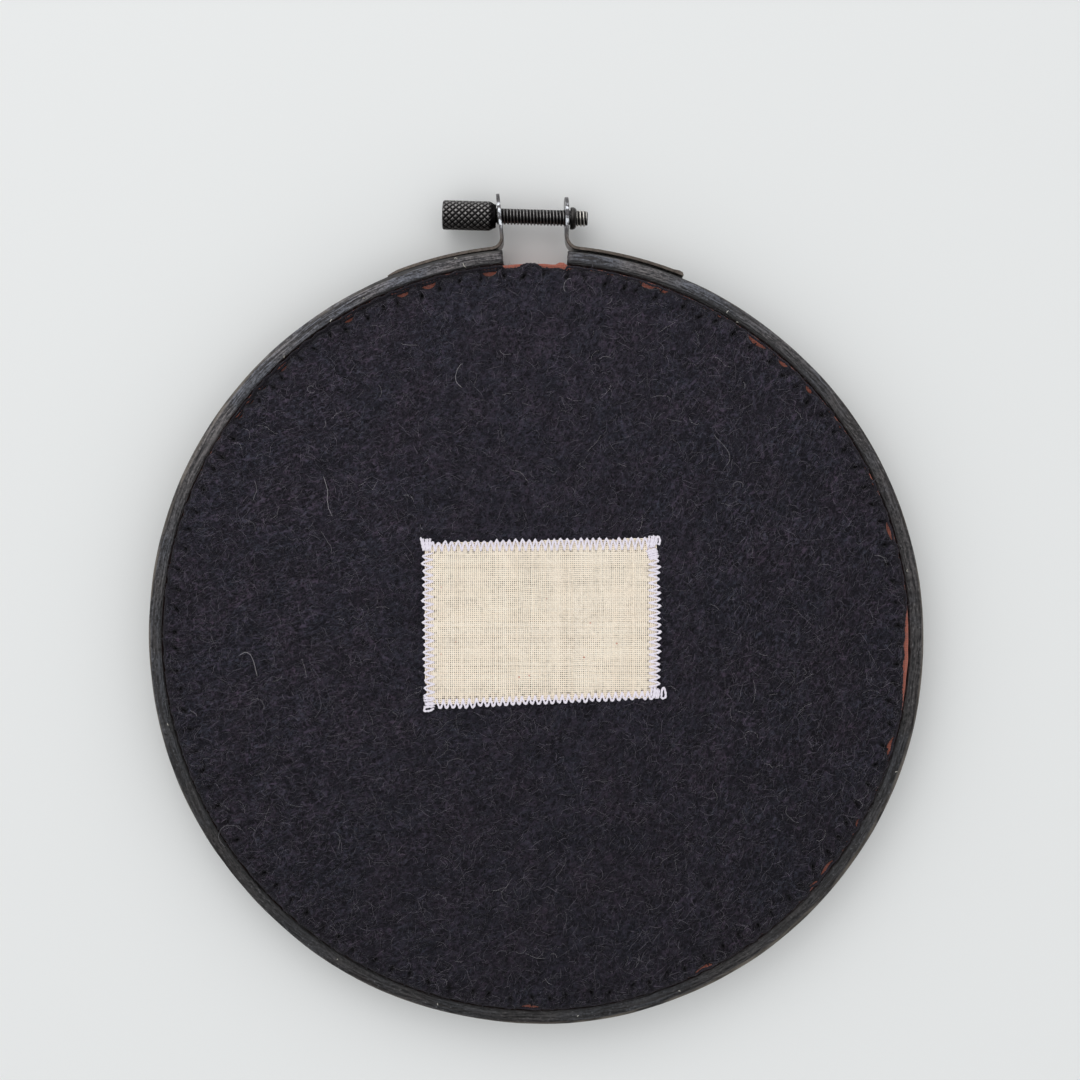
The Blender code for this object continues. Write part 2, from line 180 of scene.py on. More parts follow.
# Light hairs and curls of lint that stand out on the felt
LINT = (
    # clock angle, radius, length (mm), heading (degrees), total bend (degrees), brightness
    {"clock": 318.3, "radius": 68.6, "length": 3.6, "heading": 150.0, "bend": 250.0, "bright": 0.5},
    {"clock": 335.3, "radius": 66.2, "length": 3.4, "heading": 325.0, "bend": 65.0, "bright": 1.0},
    {"clock": 355.0, "radius": 58.3, "length": 2.8, "heading": 190.0, "bend": -80.0, "bright": 0.8},
    {"clock": 314.5, "radius": 61.0, "length": 1.6, "heading": 35.0, "bend": 60.0, "bright": 1.0},
    {"clock": 299.0, "radius": 66.0, "length": 4.2, "heading": 300.0, "bend": -70.0, "bright": 0.9},
    {"clock": 307.0, "radius": 54.5, "length": 8.5, "heading": 290.0, "bend": 60.0, "bright": 0.7},
    {"clock": 296.0, "radius": 49.0, "length": 5.0, "heading": 315.0, "bend": -50.0, "bright": 0.5},
    {"clock": 54.0, "radius": 52.5, "length": 3.6, "heading": 60.0, "bend": 240.0, "bright": 0.8},
    {"clock": 48.0, "radius": 53.0, "length": 7.5, "heading": 55.0, "bend": 45.0, "bright": 0.7},
    {"clock": 40.0, "radius": 67.0, "length": 1.4, "heading": 100.0, "bend": 90.0, "bright": 0.9},
    {"clock": 12.0, "radius": 70.0, "length": 1.8, "heading": 10.0, "bend": 80.0, "bright": 0.9},
    {"clock": 5.5, "radius": 74.0, "length": 3.5, "heading": 170.0, "bend": 130.0, "bright": 0.7},
    {"clock": 345.0, "radius": 58.0, "length": 6.0, "heading": 200.0, "bend": 110.0, "bright": 0.5},
    {"clock": 124.0, "radius": 62.0, "length": 5.0, "heading": 250.0, "bend": 160.0, "bright": 0.5},
    {"clock": 144.5, "radius": 73.4, "length": 1.0, "heading": 30.0, "bend": 40.0, "bright": 1.0},
    {"clock": 186.0, "radius": 55.0, "length": 6.5, "heading": 160.0, "bend": -120.0, "bright": 0.5},
    {"clock": 223.0, "radius": 60.0, "length": 4.5, "heading": 75.0, "bend": 150.0, "bright": 0.6},
    {"clock": 262.0, "radius": 58.0, "length": 7.0, "heading": 95.0, "bend": 70.0, "bright": 0.5},
    {"clock": 236.0, "radius": 77.6, "length": 9.0, "heading": 140.0, "bend": -190.0, "bright": 0.8},
)


# Mesh helpers

def add_mesh(name, points, face_sets, material):
    """Object from points and arrays of faces, each array of one face size."""
    points = np.asarray(points, np.float32).reshape(-1, 3)
    face_sets = [np.asarray(faces, np.int32) for faces in face_sets if len(faces)]
    corners = np.concatenate([faces.ravel() for faces in face_sets])
    used, corners = np.unique(corners, return_inverse=True)
    points = points[used]
    sizes = np.concatenate([np.full(len(faces), faces.shape[1]) for faces in face_sets])
    starts = np.concatenate(([0], np.cumsum(sizes)[:-1]))
    mesh = bpy.data.meshes.new(name)
    mesh.vertices.add(len(points))
    mesh.vertices.foreach_set("co", points.ravel())
    mesh.loops.add(len(corners))
    mesh.loops.foreach_set("vertex_index", corners.astype(np.int32).ravel())
    mesh.polygons.add(len(sizes))
    mesh.polygons.foreach_set("loop_start", starts.astype(np.int32))
    mesh.update(calc_edges=True)
    mesh.shade_smooth()
    mesh.materials.append(material)
    piece = bpy.data.objects.new(name, mesh)
    bpy.context.scene.collection.objects.link(piece)
    return piece


def grid_faces(rows, columns, wrap_rows=False, wrap_columns=False, start=0):
    """Quads over a rows by columns array of points, optionally closed either way."""
    row = np.arange(rows if wrap_rows else rows - 1)[:, None]
    column = np.arange(columns if wrap_columns else columns - 1)[None, :]
    next_row, next_column = (row + 1) % rows, (column + 1) % columns
    corners = (row * columns + column, row * columns + next_column,
               next_row * columns + next_column, next_row * columns + column)
    return np.stack(corners, axis=-1).reshape(-1, 4) + start


def unit(vectors):
    length = np.linalg.norm(vectors, axis=-1, keepdims=True)
    return vectors / np.maximum(length, 1e-12)


def path_frames(paths):
    """Two directions square to each path, carried along it without twist."""
    tangent = unit(np.gradient(paths, axis=1))
    first = np.cross(tangent[:, 0], (0.0, 0.0, 1.0))
    flat = np.linalg.norm(first, axis=-1) < 1e-3
    first[flat] = np.cross(tangent[flat, 0], (1.0, 0.0, 0.0))
    normal = np.empty_like(paths)
    normal[:, 0] = unit(first)
    for k in range(1, paths.shape[1]):
        carried = normal[:, k - 1]
        along = (carried * tangent[:, k]).sum(-1, keepdims=True)
        normal[:, k] = unit(carried - along * tangent[:, k])
    return normal, np.cross(tangent, normal)


def tube_parts(paths, radius, sides, flatten=1.0, keep=None, first=0.0):
    """Points and faces of closed tubes round paths of shape (tubes, points, 3)."""
    paths = np.asarray(paths, float)
    tubes, count, _ = paths.shape
    side, up = path_frames(paths)
    radius = np.broadcast_to(radius, (tubes, count))[:, :, None, None]
    turns = first + TURN * np.arange(sides) / sides
    ring = (np.cos(turns)[:, None] * side[:, :, None] + flatten * np.sin(turns)[:, None] * up[:, :, None])
    points = paths[:, :, None] + ring * radius
    one = grid_faces(count, sides, wrap_columns=True)
    quads = (one[None] + (np.arange(tubes) * count * sides)[:, None, None])
    if keep is not None:
        quads = quads[np.repeat(keep, sides, axis=1)]
    quads = quads.reshape(-1, 4)
    caps = []
    if keep is None:
        starts = (np.arange(tubes) * count * sides)[:, None]
        caps = [starts + np.arange(sides)[::-1], starts + (count - 1) * sides + np.arange(sides)]
        caps = [np.concatenate(caps)]
    return points.reshape(-1, 3), [quads[:, ::-1]] + [cap[:, ::-1] for cap in caps]


def add_tubes(name, paths, radius, sides, material):
    points, faces = tube_parts(paths, radius, sides)
    return add_mesh(name, points, faces, material)


def closed_round(name, rows, low, high, material, centre=(0.0, 0.0)):
    """Closed surface through rows of points that each go once round, its two ends filled by fans.

    low and high are the heights of the end points over the centre, or None for the ends' own middles.
    """
    count = rows.shape[1]
    first = len(rows) * count
    if low is None:
        ends = [rows[0].mean(axis=0), rows[-1].mean(axis=0)]
    else:
        ends = [(*centre, low), (*centre, high)]
    points = np.concatenate((rows.reshape(-1, 3), ends))
    ring = np.arange(count)
    after = (ring + 1) % count
    last = (len(rows) - 1) * count
    fans = np.concatenate((
        np.stack((ring, after, np.full(count, first)), axis=-1),
        np.stack((last + after, last + ring, np.full(count, first + 1)), axis=-1)))
    return add_mesh(name, points, [grid_faces(len(rows), count, wrap_columns=True)[:, ::-1], fans[:, ::-1]],
                    material)


def resample(points, count):
    """Smooth path of evenly spaced points through a few given ones."""
    points = np.asarray(points, float)
    ends = np.concatenate((2 * points[:1] - points[1:2], points, 2 * points[-1:] - points[-2:-1]))
    fine = []
    for a, b, c, d in zip(ends, ends[1:], ends[2:], ends[3:]):
        t = np.linspace(0.0, 1.0, 12, endpoint=False)[:, None]
        fine.append(0.5 * (2 * b + (c - a) * t + (2 * a - 5 * b + 4 * c - d) * t ** 2
                           + (3 * b - a - 3 * c + d) * t ** 3))
    fine = np.concatenate(fine + [points[-1:]])
    travelled = np.concatenate(([0.0], np.cumsum(np.linalg.norm(np.diff(fine, axis=0), axis=1))))
    wanted = np.linspace(0.0, travelled[-1], count)
    return np.stack([np.interp(wanted, travelled, fine[:, k]) for k in range(3)], axis=-1)


def twisted_plies(paths, offset, pitch, plies=2):
    """Strands wound round each path, one set of paths for each ply."""
    side, up = path_frames(paths)
    steps = np.linalg.norm(np.diff(paths, axis=1), axis=-1)
    travelled = np.concatenate((np.zeros((len(paths), 1)), np.cumsum(steps, axis=1)), axis=1)
    strands = []
    for ply in range(plies):
        turn = (TURN * (travelled / pitch + ply / plies))[:, :, None]
        strands.append(paths + offset * (np.cos(turn) * side + np.sin(turn) * up))
    return np.concatenate(strands)


def ring_noise(clock, slow, fast, seed, waves=8):
    """Sum of waves round the clock, between slow and fast waves a turn, about -1 to 1."""
    local = np.random.default_rng(seed)
    angle = np.radians(clock)
    total = np.zeros_like(angle, dtype=float)
    for _ in range(waves):
        total += np.sin(angle * local.integers(slow, fast + 1) + local.uniform(0.0, TURN))
    return total / math.sqrt(waves)


def plane_noise(x, y, size, seed, waves=7):
    """Soft lumps over a plane, of about the given size."""
    local = np.random.default_rng(seed)
    total = np.zeros(np.broadcast(x, y).shape)
    for _ in range(waves):
        heading = local.uniform(0.0, TURN)
        rate = TURN / size * local.uniform(0.6, 1.5)
        total += np.sin(rate * (x * math.cos(heading) + y * math.sin(heading)) + local.uniform(0.0, TURN))
    return total / math.sqrt(waves)


def toward_low_left(clock):
    """How far the inner ring, with cloth and felt, sits toward the lower left of the outer ring."""
    return -SHIFT * np.cos(np.radians(clock - SHIFT_CLOCK))


def oval(angle):
    """How much further out the slightly oval hoop is than a round one."""
    return 1.0 + OVAL * np.cos(2.0 * (angle - math.radians(OVAL_CLOCK)))


def clock_xy(radius, clock):
    """x and y at a radius and a clock angle in degrees, on the slightly oval hoop."""
    angle = np.radians(clock)
    radius = radius * oval(angle)
    return radius * np.sin(angle), radius * np.cos(angle)


def apart(clock, other):
    """Signed difference of two clock angles in degrees."""
    return (clock - other + 180.0) % 360.0 - 180.0


# Material helpers

class Graph:
    """The node tree of one material."""

    def __init__(self, name):
        self.material = bpy.data.materials.new(name)
        self.material.use_nodes = True
        self.nodes = self.material.node_tree.nodes
        self.links = self.material.node_tree.links
        self.shader = self.nodes["Principled BSDF"]

    def node(self, kind, inputs, output=0, **settings):
        made = self.nodes.new("ShaderNode" + kind)
        for key, value in settings.items():
            setattr(made, key, value)
        for key, value in inputs.items():
            self.put(made.inputs[key], value)
        return made.outputs[output]

    def put(self, socket, value):
        if isinstance(value, bpy.types.NodeSocket):
            self.links.new(value, socket)
        else:
            socket.default_value = value

    def maths(self, operation, a, b=0.0, clamp=False):
        return self.node("Math", {0: a, 1: b}, operation=operation, use_clamp=clamp)

    def times(self, a, b, clamp=False):
        return self.maths("MULTIPLY", a, b, clamp)

    def plus(self, a, b):
        return self.maths("ADD", a, b)

    def minus(self, a, b):
        return self.maths("SUBTRACT", a, b)

    def size(self, a):
        return self.maths("ABSOLUTE", a)

    def weighted(self, *parts):
        """Sum of values, each times its own share."""
        total = None
        for value, share in parts:
            part = self.times(value, share)
            total = part if total is None else self.plus(total, part)
        return total

    def length(self, a, b):
        return self.maths("SQRT", self.plus(self.times(a, a), self.times(b, b)))

    def scaled(self, vector, gain):
        return self.node("VectorMath", {0: vector, 3: gain}, operation="SCALE")

    def place(self):
        """Position on the object in millimetres."""
        return self.scaled(self.node("TexCoord", {}, output="Object"), 1000.0)

    def split(self, vector):
        made = self.nodes.new("ShaderNodeSeparateXYZ")
        self.links.new(vector, made.inputs[0])
        return made.outputs[0], made.outputs[1], made.outputs[2]

    def join(self, x, y, z):
        return self.node("CombineXYZ", {0: x, 1: y, 2: z})

    def noise(self, vector, scale=1.0, detail=3.0, roughness=0.55):
        inputs = {"Vector": vector, "Scale": scale, "Detail": detail, "Roughness": roughness}
        return self.node("TexNoise", inputs)

    def spread(self, value, low, high, to_low=0.0, to_high=1.0):
        inputs = {"Value": value, "From Min": low, "From Max": high, "To Min": to_low, "To Max": to_high}
        return self.node("MapRange", inputs, clamp=True)

    def blend(self, share, a, b):
        made = self.nodes.new("ShaderNodeMix")
        made.data_type = "RGBA"
        for socket, value in ((made.inputs["Factor"], share), (made.inputs[6], a), (made.inputs[7], b)):
            self.put(socket, opaque(value))
        return made.outputs[2]

    def bump(self, height, distance, strength=1.0):
        return self.node("Bump", {"Height": height, "Distance": distance, "Strength": strength})

    def finish(self, **values):
        for key, value in values.items():
            self.put(self.shader.inputs[key.replace("_", " ")], opaque(value))
        return self.material


def opaque(value):
    """A colour of three numbers with its alpha added, and anything else as it is."""
    return (*value, 1.0) if isinstance(value, tuple) and len(value) == 3 else value


def wood_material(name):
    """Black stain over bent wood, the grain running round the ring, with painted light making it lighter near
    the clamp, and painted shade along its inner edge and under the straps.
    """
    graph = Graph(name)
    place = graph.place()
    x, y, z = graph.split(place)
    arc = graph.times(graph.maths("ARCTAN2", x, graph.times(y, -1.0)), 78.0)
    radius = graph.length(x, y)
    wave = graph.noise(graph.join(graph.times(arc, 0.05), 0.0, 0.0))
    across = graph.plus(graph.plus(radius, z), graph.times(wave, 2.0))

    def streaks(along_rate, across_rate, detail=2.0, roughness=0.6):
        way = graph.join(graph.times(arc, along_rate), graph.times(across, across_rate), 0.0)
        return graph.noise(way, detail=detail, roughness=roughness)

    grain = streaks(0.10, 1.9)
    pores = streaks(0.75, 2.6)
    dust = graph.noise(place, scale=2.2, detail=2.0, roughness=0.7)
    patches = graph.noise(place, scale=0.07)
    tone = graph.weighted((graph.spread(grain, 0.38, 0.62), 0.38), (graph.spread(pores, 0.38, 0.62), 0.36),
                          (graph.spread(dust, 0.40, 0.60), 0.26))
    light = graph.blend(graph.spread(patches, 0.42, 0.58), (0.077, 0.070, 0.071), (0.066, 0.069, 0.082))
    colour = graph.blend(graph.spread(tone, 0.26, 0.78), (0.0055, 0.0050, 0.0065), light)
    # Painted light: lighter towards the top left and top right, near the clamp, and most on the ring's outer
    # part.
    toward_left = graph.weighted((y, 0.82), (x, -0.57))
    toward_right = graph.weighted((y, 0.80), (x, 0.60))
    wear_and_painted_light = graph.plus(graph.spread(toward_left, 15.0, 66.0, 0.0, 0.9),
                        graph.spread(toward_left, 66.0, 77.0, 0.0, 1.4))
    wear_and_painted_light = graph.plus(wear_and_painted_light, graph.spread(toward_right, 20.0, 79.0, 0.0, 0.80))
    wear_and_painted_light = graph.times(wear_and_painted_light, graph.spread(radius, 77.4, 78.4, 0.45, 1.0))
    colour = graph.scaled(colour, graph.plus(wear_and_painted_light, 0.56))
    line = graph.size(graph.minus(streaks(0.02, 1.4, detail=1.0, roughness=0.55), 0.5))
    line = graph.times(graph.spread(line, 0.01, 0.06, 1.0, 0.0), graph.spread(radius, 78.0, 78.9, 0.25, 0.85))
    colour = graph.blend(line, colour, (0.0130, 0.0095, 0.0095))
    fleck = graph.times(graph.spread(dust, 0.60, 0.68), graph.spread(pores, 0.50, 0.60))
    colour = graph.blend(graph.times(fleck, 0.5), colour, (0.20, 0.20, 0.21))
    # Lighter beige along the ring's outer edge, following the grain: wear with a painted highlight.
    wear_and_painted_highlight = graph.times(graph.spread(radius, 79.4, 79.9), graph.spread(grain, 0.38, 0.56))
    colour = graph.blend(graph.times(wear_and_painted_highlight, 0.65), colour, (0.155, 0.130, 0.100))
    shade = (0.0045, 0.0042, 0.005)
    # Painted shade along the ring's inner edge, wider towards the top and narrower towards the right.
    inner_shade_radius = graph.minus(radius, graph.spread(y, 45.0, 62.0, 0.0, 0.36))
    inner_shade_radius = graph.plus(inner_shade_radius, graph.spread(x, 35.0, 60.0, 0.0, 0.25))
    colour = graph.blend(graph.spread(inner_shade_radius, 77.15, 77.50, 0.92, 0.0), colour, shade)
    # Painted shadow on the ring's outer rim under the clamp's straps.
    strap_shadow = graph.times(graph.spread(radius, 79.50, 79.72), graph.spread(y, 69.0, 72.5))
    colour = graph.blend(graph.times(strap_shadow, 0.92), colour, shade)
    rough = graph.spread(graph.plus(pores, patches), 0.8, 1.25, 0.40, 0.66)
    normal = graph.bump(graph.weighted((grain, 0.6), (pores, 0.6)), 0.00045)
    return graph.finish(Base_Color=colour, Roughness=rough, Normal=normal)


def fibre_lines(graph, place, layers, stretch, width, shift):
    """Thin curling lines, one tangle for each heading and strength, fading in and out along their way."""
    bend = graph.node("TexNoise", {"Vector": place, "Scale": 0.9, "Detail": 2.0}, output="Color")
    bend = graph.node("VectorMath", {0: bend, 1: (0.5, 0.5, 0.5)}, operation="SUBTRACT")
    moved = graph.node("VectorMath", {0: place, 1: graph.scaled(bend, 1.3)}, operation="ADD")
    total = None
    for k, (heading, strength) in enumerate(layers):
        turned = graph.node("Mapping", {"Vector": moved, "Location": (7.3 * k + shift, 3.1 * k, 1.7 * k),
                                        "Rotation": (0.0, 0.0, math.radians(heading)),
                                        "Scale": (1.0 / stretch[0], 1.0 / stretch[1], 1.0)},
                            vector_type="TEXTURE")
        off = graph.size(graph.minus(graph.noise(turned, detail=1.0, roughness=0.45), 0.5))
        line = graph.times(graph.spread(off, 0.4 * width, width, 1.0, 0.0), strength)
        total = line if total is None else graph.maths("MAXIMUM", total, line)
    away = graph.node("VectorMath", {0: place, 1: (31.0 + shift, 17.0, 5.0)}, operation="ADD")
    fade = graph.spread(graph.noise(away, scale=1.1, detail=2.0), 0.38, 0.62, 0.15, 1.0)
    return graph.times(total, fade)


def felt_material(name):
    """Black wool felt: matted fibres, some a little violet and others a little blue, with painted light towards
    the top left and painted shade in the stitches' pits and along its edge.
    """
    graph = Graph(name)
    place = graph.place()
    x, y, _ = graph.split(place)
    right = graph.spread(x, -45.0, 45.0, 0.1, 1.0)
    left = graph.spread(x, -45.0, 45.0, 1.0, 0.1)
    violet = fibre_lines(graph, place, ((52.0, right), (18.0, left), (112.0, 0.55)), (0.22, 0.85), 0.034, 0.0)
    blue = fibre_lines(graph, place, ((64.0, right), (32.0, left), (-8.0, 0.5)), (0.32, 1.20), 0.040, 40.0)
    speckle = graph.spread(graph.noise(place, scale=3.0, detail=2.0, roughness=0.7), 0.46, 0.60)
    clumps = graph.noise(place, scale=0.55, detail=4.0, roughness=0.62)
    tint = graph.spread(graph.noise(place, scale=0.09, detail=4.0), 0.38, 0.62)
    cloud = graph.spread(graph.noise(place, scale=0.16), 0.35, 0.65, 0.78, 1.22)
    # The pit attribute holds painted shade for the stitches' pits and grooves and the felt's edge.
    pit = graph.node("Attribute", {}, output="Fac", attribute_name="pit")
    warm = graph.blend(tint, (0.075, 0.055, 0.082), (0.062, 0.052, 0.079))
    cool = graph.blend(tint, (0.058, 0.053, 0.073), (0.048, 0.051, 0.071))
    colour = graph.blend(graph.spread(clumps, 0.34, 0.66), (0.0038, 0.0031, 0.0048), (0.0082, 0.0069, 0.0104))
    colour = graph.blend(graph.times(speckle, 0.17), colour, cool)
    for fibres, strength, shade in ((blue, 0.80, cool), (violet, 0.75, warm)):
        colour = graph.blend(graph.times(graph.times(fibres, cloud), strength, clamp=True), colour, shade)
    # Painted light: the felt lighter towards the top left and darker towards the bottom right.
    painted_light_slope = graph.weighted((y, 0.94), (x, -0.34))
    colour = graph.scaled(colour, graph.spread(painted_light_slope, -70.0, 70.0, 0.72, 1.06))
    # Painted shade: near-black in the stitches' pits and grooves and along the felt's edge.
    colour = graph.blend(graph.times(pit, 0.88, clamp=True), colour, (0.0016, 0.0014, 0.0020))
    height = graph.plus(clumps, graph.times(graph.maths("MAXIMUM", violet, blue), 0.5))
    return graph.finish(Base_Color=colour, Normal=graph.bump(height, 0.00030), Roughness=0.95,
                        Specular_IOR_Level=0.12, Sheen_Weight=0.05, Sheen_Roughness=0.5)


def hair_material(name, dark, light, sheen=0.2):
    graph = Graph(name)
    pick = graph.node("NewGeometry", {}, output="Random Per Island")
    colour = graph.blend(graph.maths("POWER", pick, 2.6), dark, light)
    return graph.finish(Base_Color=colour, Roughness=0.75, Specular_IOR_Level=0.3, Sheen_Weight=sheen)


def thread_material(name, dark, light, roughness, sheen):
    graph = Graph(name)
    fuzz = graph.noise(graph.place(), scale=6.0, detail=4.0, roughness=0.7)
    colour = graph.blend(graph.spread(fuzz, 0.32, 0.68), dark, light)
    return graph.finish(Base_Color=colour, Normal=graph.bump(fuzz, 0.00006, 0.6), Roughness=roughness,
                        Sheen_Weight=sheen, Specular_IOR_Level=0.2)


def cotton_material(name):
    """Terracotta plain weave, dyed a little unevenly."""
    graph = Graph(name)
    place = graph.place()
    x, y, z = graph.split(place)
    pitch = 0.40
    wobble = graph.times(graph.minus(graph.noise(place, scale=0.35, detail=2.0), 0.5), 0.5)
    across = graph.maths("SINE", graph.times(graph.plus(x, wobble), math.pi / pitch))
    along = graph.maths("SINE", graph.times(graph.minus(y, wobble), math.pi / pitch))
    rib = graph.maths("MAXIMUM", graph.size(across), graph.size(along))
    warp = graph.noise(graph.join(graph.times(x, 0.25), graph.times(y, 5.0), z), 0.8)
    weft = graph.noise(graph.join(graph.times(x, 5.0), graph.times(y, 0.25), z), 0.8)
    yarns = graph.weighted((warp, 0.5), (weft, 0.5))
    fuzz = graph.noise(place, scale=7.0, detail=4.0, roughness=0.7)
    tone = graph.weighted((graph.spread(yarns, 0.36, 0.64), 0.6), (fuzz, 0.4))
    colour = graph.blend(tone, (0.33, 0.100, 0.072), (0.47, 0.165, 0.115))
    colour = graph.blend(graph.spread(rib, 0.25, 0.75), (0.20, 0.055, 0.040), colour)
    height = graph.weighted((graph.times(across, along), 0.35), (rib, 0.8), (fuzz, 0.35))
    return graph.finish(Base_Color=colour, Normal=graph.bump(height, 0.00007, 0.9), Roughness=0.88,
                        Specular_IOR_Level=0.25, Sheen_Weight=0.15)


def label_material(name):
    """Cream cotton yarn with a few coloured flecks."""
    graph = Graph(name)
    place = graph.place()
    pick = graph.node("NewGeometry", {}, output="Random Per Island")
    fuzz = graph.noise(place, scale=5.0, roughness=0.7)
    wide = graph.noise(place, scale=0.10, detail=2.0)
    colour = graph.blend(graph.weighted((pick, 0.45), (fuzz, 0.55)), (0.94, 0.80, 0.635), (1.0, 0.925, 0.805))
    colour = graph.blend(graph.spread(wide, 0.35, 0.65, 0.0, 0.3), colour, (0.93, 0.80, 0.66))
    cells = graph.node("TexVoronoi", {"Vector": place, "Scale": 0.42, "Randomness": 1.0}, output="Distance")
    rare = graph.spread(graph.noise(place, scale=0.42, detail=0.0), 0.60, 0.64)
    fleck = graph.times(graph.times(graph.spread(cells, 0.06, 0.11, 1.0, 0.0), rare), 0.7)
    colour = graph.blend(fleck, colour, (0.62, 0.16, 0.09))
    return graph.finish(Base_Color=colour, Normal=graph.bump(fuzz, 0.00003, 0.5), Roughness=0.85,
                        Specular_IOR_Level=0.25, Sheen_Weight=0.1)


def metal_material(name, dark, light, rough_low, rough_high, warm=(1.0, 1.0, 1.0)):
    """Dark plate with fine scratches, lighter in patches from wear, browner down by the wood, and with painted
    glints beside the screw.
    """
    graph = Graph(name)
    place = graph.place()
    cloud = graph.noise(place, scale=0.9, detail=5.0, roughness=0.65)
    x, y, z = graph.split(place)
    way = graph.join(graph.times(x, 6.0), graph.times(y, 6.0), graph.times(z, 0.7))
    scratch = graph.noise(way, scale=1.6, detail=5.0)
    tone = graph.weighted((cloud, 0.6), (scratch, 0.4))
    colour = graph.blend(graph.spread(tone, 0.38, 0.66), dark, light)
    brown = graph.node("VectorMath", {0: colour, 1: warm}, operation="MULTIPLY")
    colour = graph.blend(graph.spread(y, 81.5, 84.0, 1.0, 0.0), colour, brown)
    # Painted glints: bright bluish-white patches on the plate beside the screw.
    beside = graph.times(graph.spread(y, 84.0, 85.0), graph.spread(y, 89.2, 90.0, 1.0, 0.0))
    painted_glint = graph.times(beside, graph.spread(cloud, 0.47, 0.55))
    colour = graph.blend(graph.times(painted_glint, 0.85), colour, (0.72, 0.75, 0.80))
    rough = graph.spread(scratch, 0.3, 0.7, rough_low, rough_high)
    normal = graph.bump(scratch, 0.00003, 0.5)
    return graph.finish(Base_Color=colour, Metallic=1.0, Roughness=rough, Normal=normal)


def screw_material(name, root, crest, crest_colour, bare_from=None):
    """Blackened steel, its crests scuffed bright and, past a place along it, its tip bare."""
    graph = Graph(name)
    place = graph.place()
    x, y, z = graph.split(place)
    cloud = graph.noise(place, scale=1.6, detail=5.0, roughness=0.7)
    wear_and_painted_light = graph.spread(graph.length(y, z), root / MM, crest / MM)
    wear_and_painted_highlight = graph.times(wear_and_painted_light, graph.spread(cloud, 0.30, 0.58, 0.35, 1.0), clamp=True)
    colour = graph.blend(wear_and_painted_highlight, (0.014, 0.013, 0.014), crest_colour)
    if bare_from is not None:
        bare = graph.times(graph.spread(x, bare_from / MM, bare_from / MM + 0.5), wear_and_painted_light)
        colour = graph.blend(bare, colour, (0.85, 0.82, 0.76))
    rough = graph.spread(wear_and_painted_highlight, 0.0, 1.0, 0.48, 0.36)
    normal = graph.bump(cloud, 0.00002, 0.4)
    return graph.finish(Base_Color=colour, Metallic=1.0, Roughness=rough, Normal=normal)


def plain_material(name, colour, roughness):
    return Graph(name).finish(Base_Color=colour, Roughness=roughness)


# Felt surface

def stitch_table():
    """Places of the stitches: clock angle, slant, reach inward and depth."""
    spacing = 360.0 / STITCHES
    clocks = spacing * (np.arange(STITCHES) + 0.35) + rng.normal(0.0, 0.32, STITCHES)
    for row in HEM_WINDOWS:
        off = apart(clocks, row["clock"])
        near = (np.abs(off) < row["half"] + 0.2) & (row["half"] < 1.35)
        clocks = np.where(near, row["clock"] + np.where(off < 0.0, -1.0, 1.0) * (row["half"] + 0.3), clocks)
    return {
        "clock": np.sort(clocks % 360.0),
        "slant": rng.normal(0.25, 0.35, STITCHES),
        "pit": PIT_RADIUS + rng.normal(0.0, 0.28 * MM, STITCHES),
        "depth": rng.uniform(0.75, 1.15, STITCHES),
    }


STITCH = stitch_table()


def stitch_row():
    """The stitches' clock angles with one more at each end, and their indexes."""
    clocks = STITCH["clock"]
    extended = np.concatenate((clocks[-1:] - 360.0, clocks, clocks[:1] + 360.0))
    return extended, np.arange(-1, STITCHES + 1)


def stitch_phase(clock):
    """How far a clock angle is from one stitch to the next, 0 to 1, and the nearest stitch."""
    clocks, indexes = stitch_row()
    index = np.interp(np.asarray(clock) % 360.0, clocks, indexes)
    return index - np.floor(index), np.round(index).astype(int) % STITCHES


def stitch_place(radius, clock, near):
    """Way out from the nearest stitch's pit, and way to the side of its leaning line."""
    pit_in = radius - STITCH["pit"][near]
    lean = np.degrees(STITCH["slant"][near] * pit_in / radius)
    return pit_in, np.radians(apart(clock, STITCH["clock"][near] + lean)) * radius


def felt_edge(clock):
    """Radius of the felt's edge."""
    phase, _ = stitch_phase(clock)
    scallop = 0.16 * MM * (1.0 - np.sin(math.pi * phase) ** 0.7)
    top = 0.15 * MM * np.clip(1.0 - (apart(clock, 2.0) / 34.0) ** 2, 0.0, 1.0)
    top = top + 0.50 * MM * np.clip(1.0 - (apart(clock, 329.0) / 27.0) ** 4, 0.0, 1.0)
    ragged = 0.07 * MM * ring_noise(clock, 60, 200, 5)
    edge = FELT_RADIUS + toward_low_left(clock) - scallop - top + ragged
    for row in HEM_WINDOWS:
        off = apart(clock, row["clock"]) / row["half"]
        edge = edge - row["inset"] * MM * np.clip(1.0 - off ** 2, 0.0, 1.0) ** 0.6
    return edge


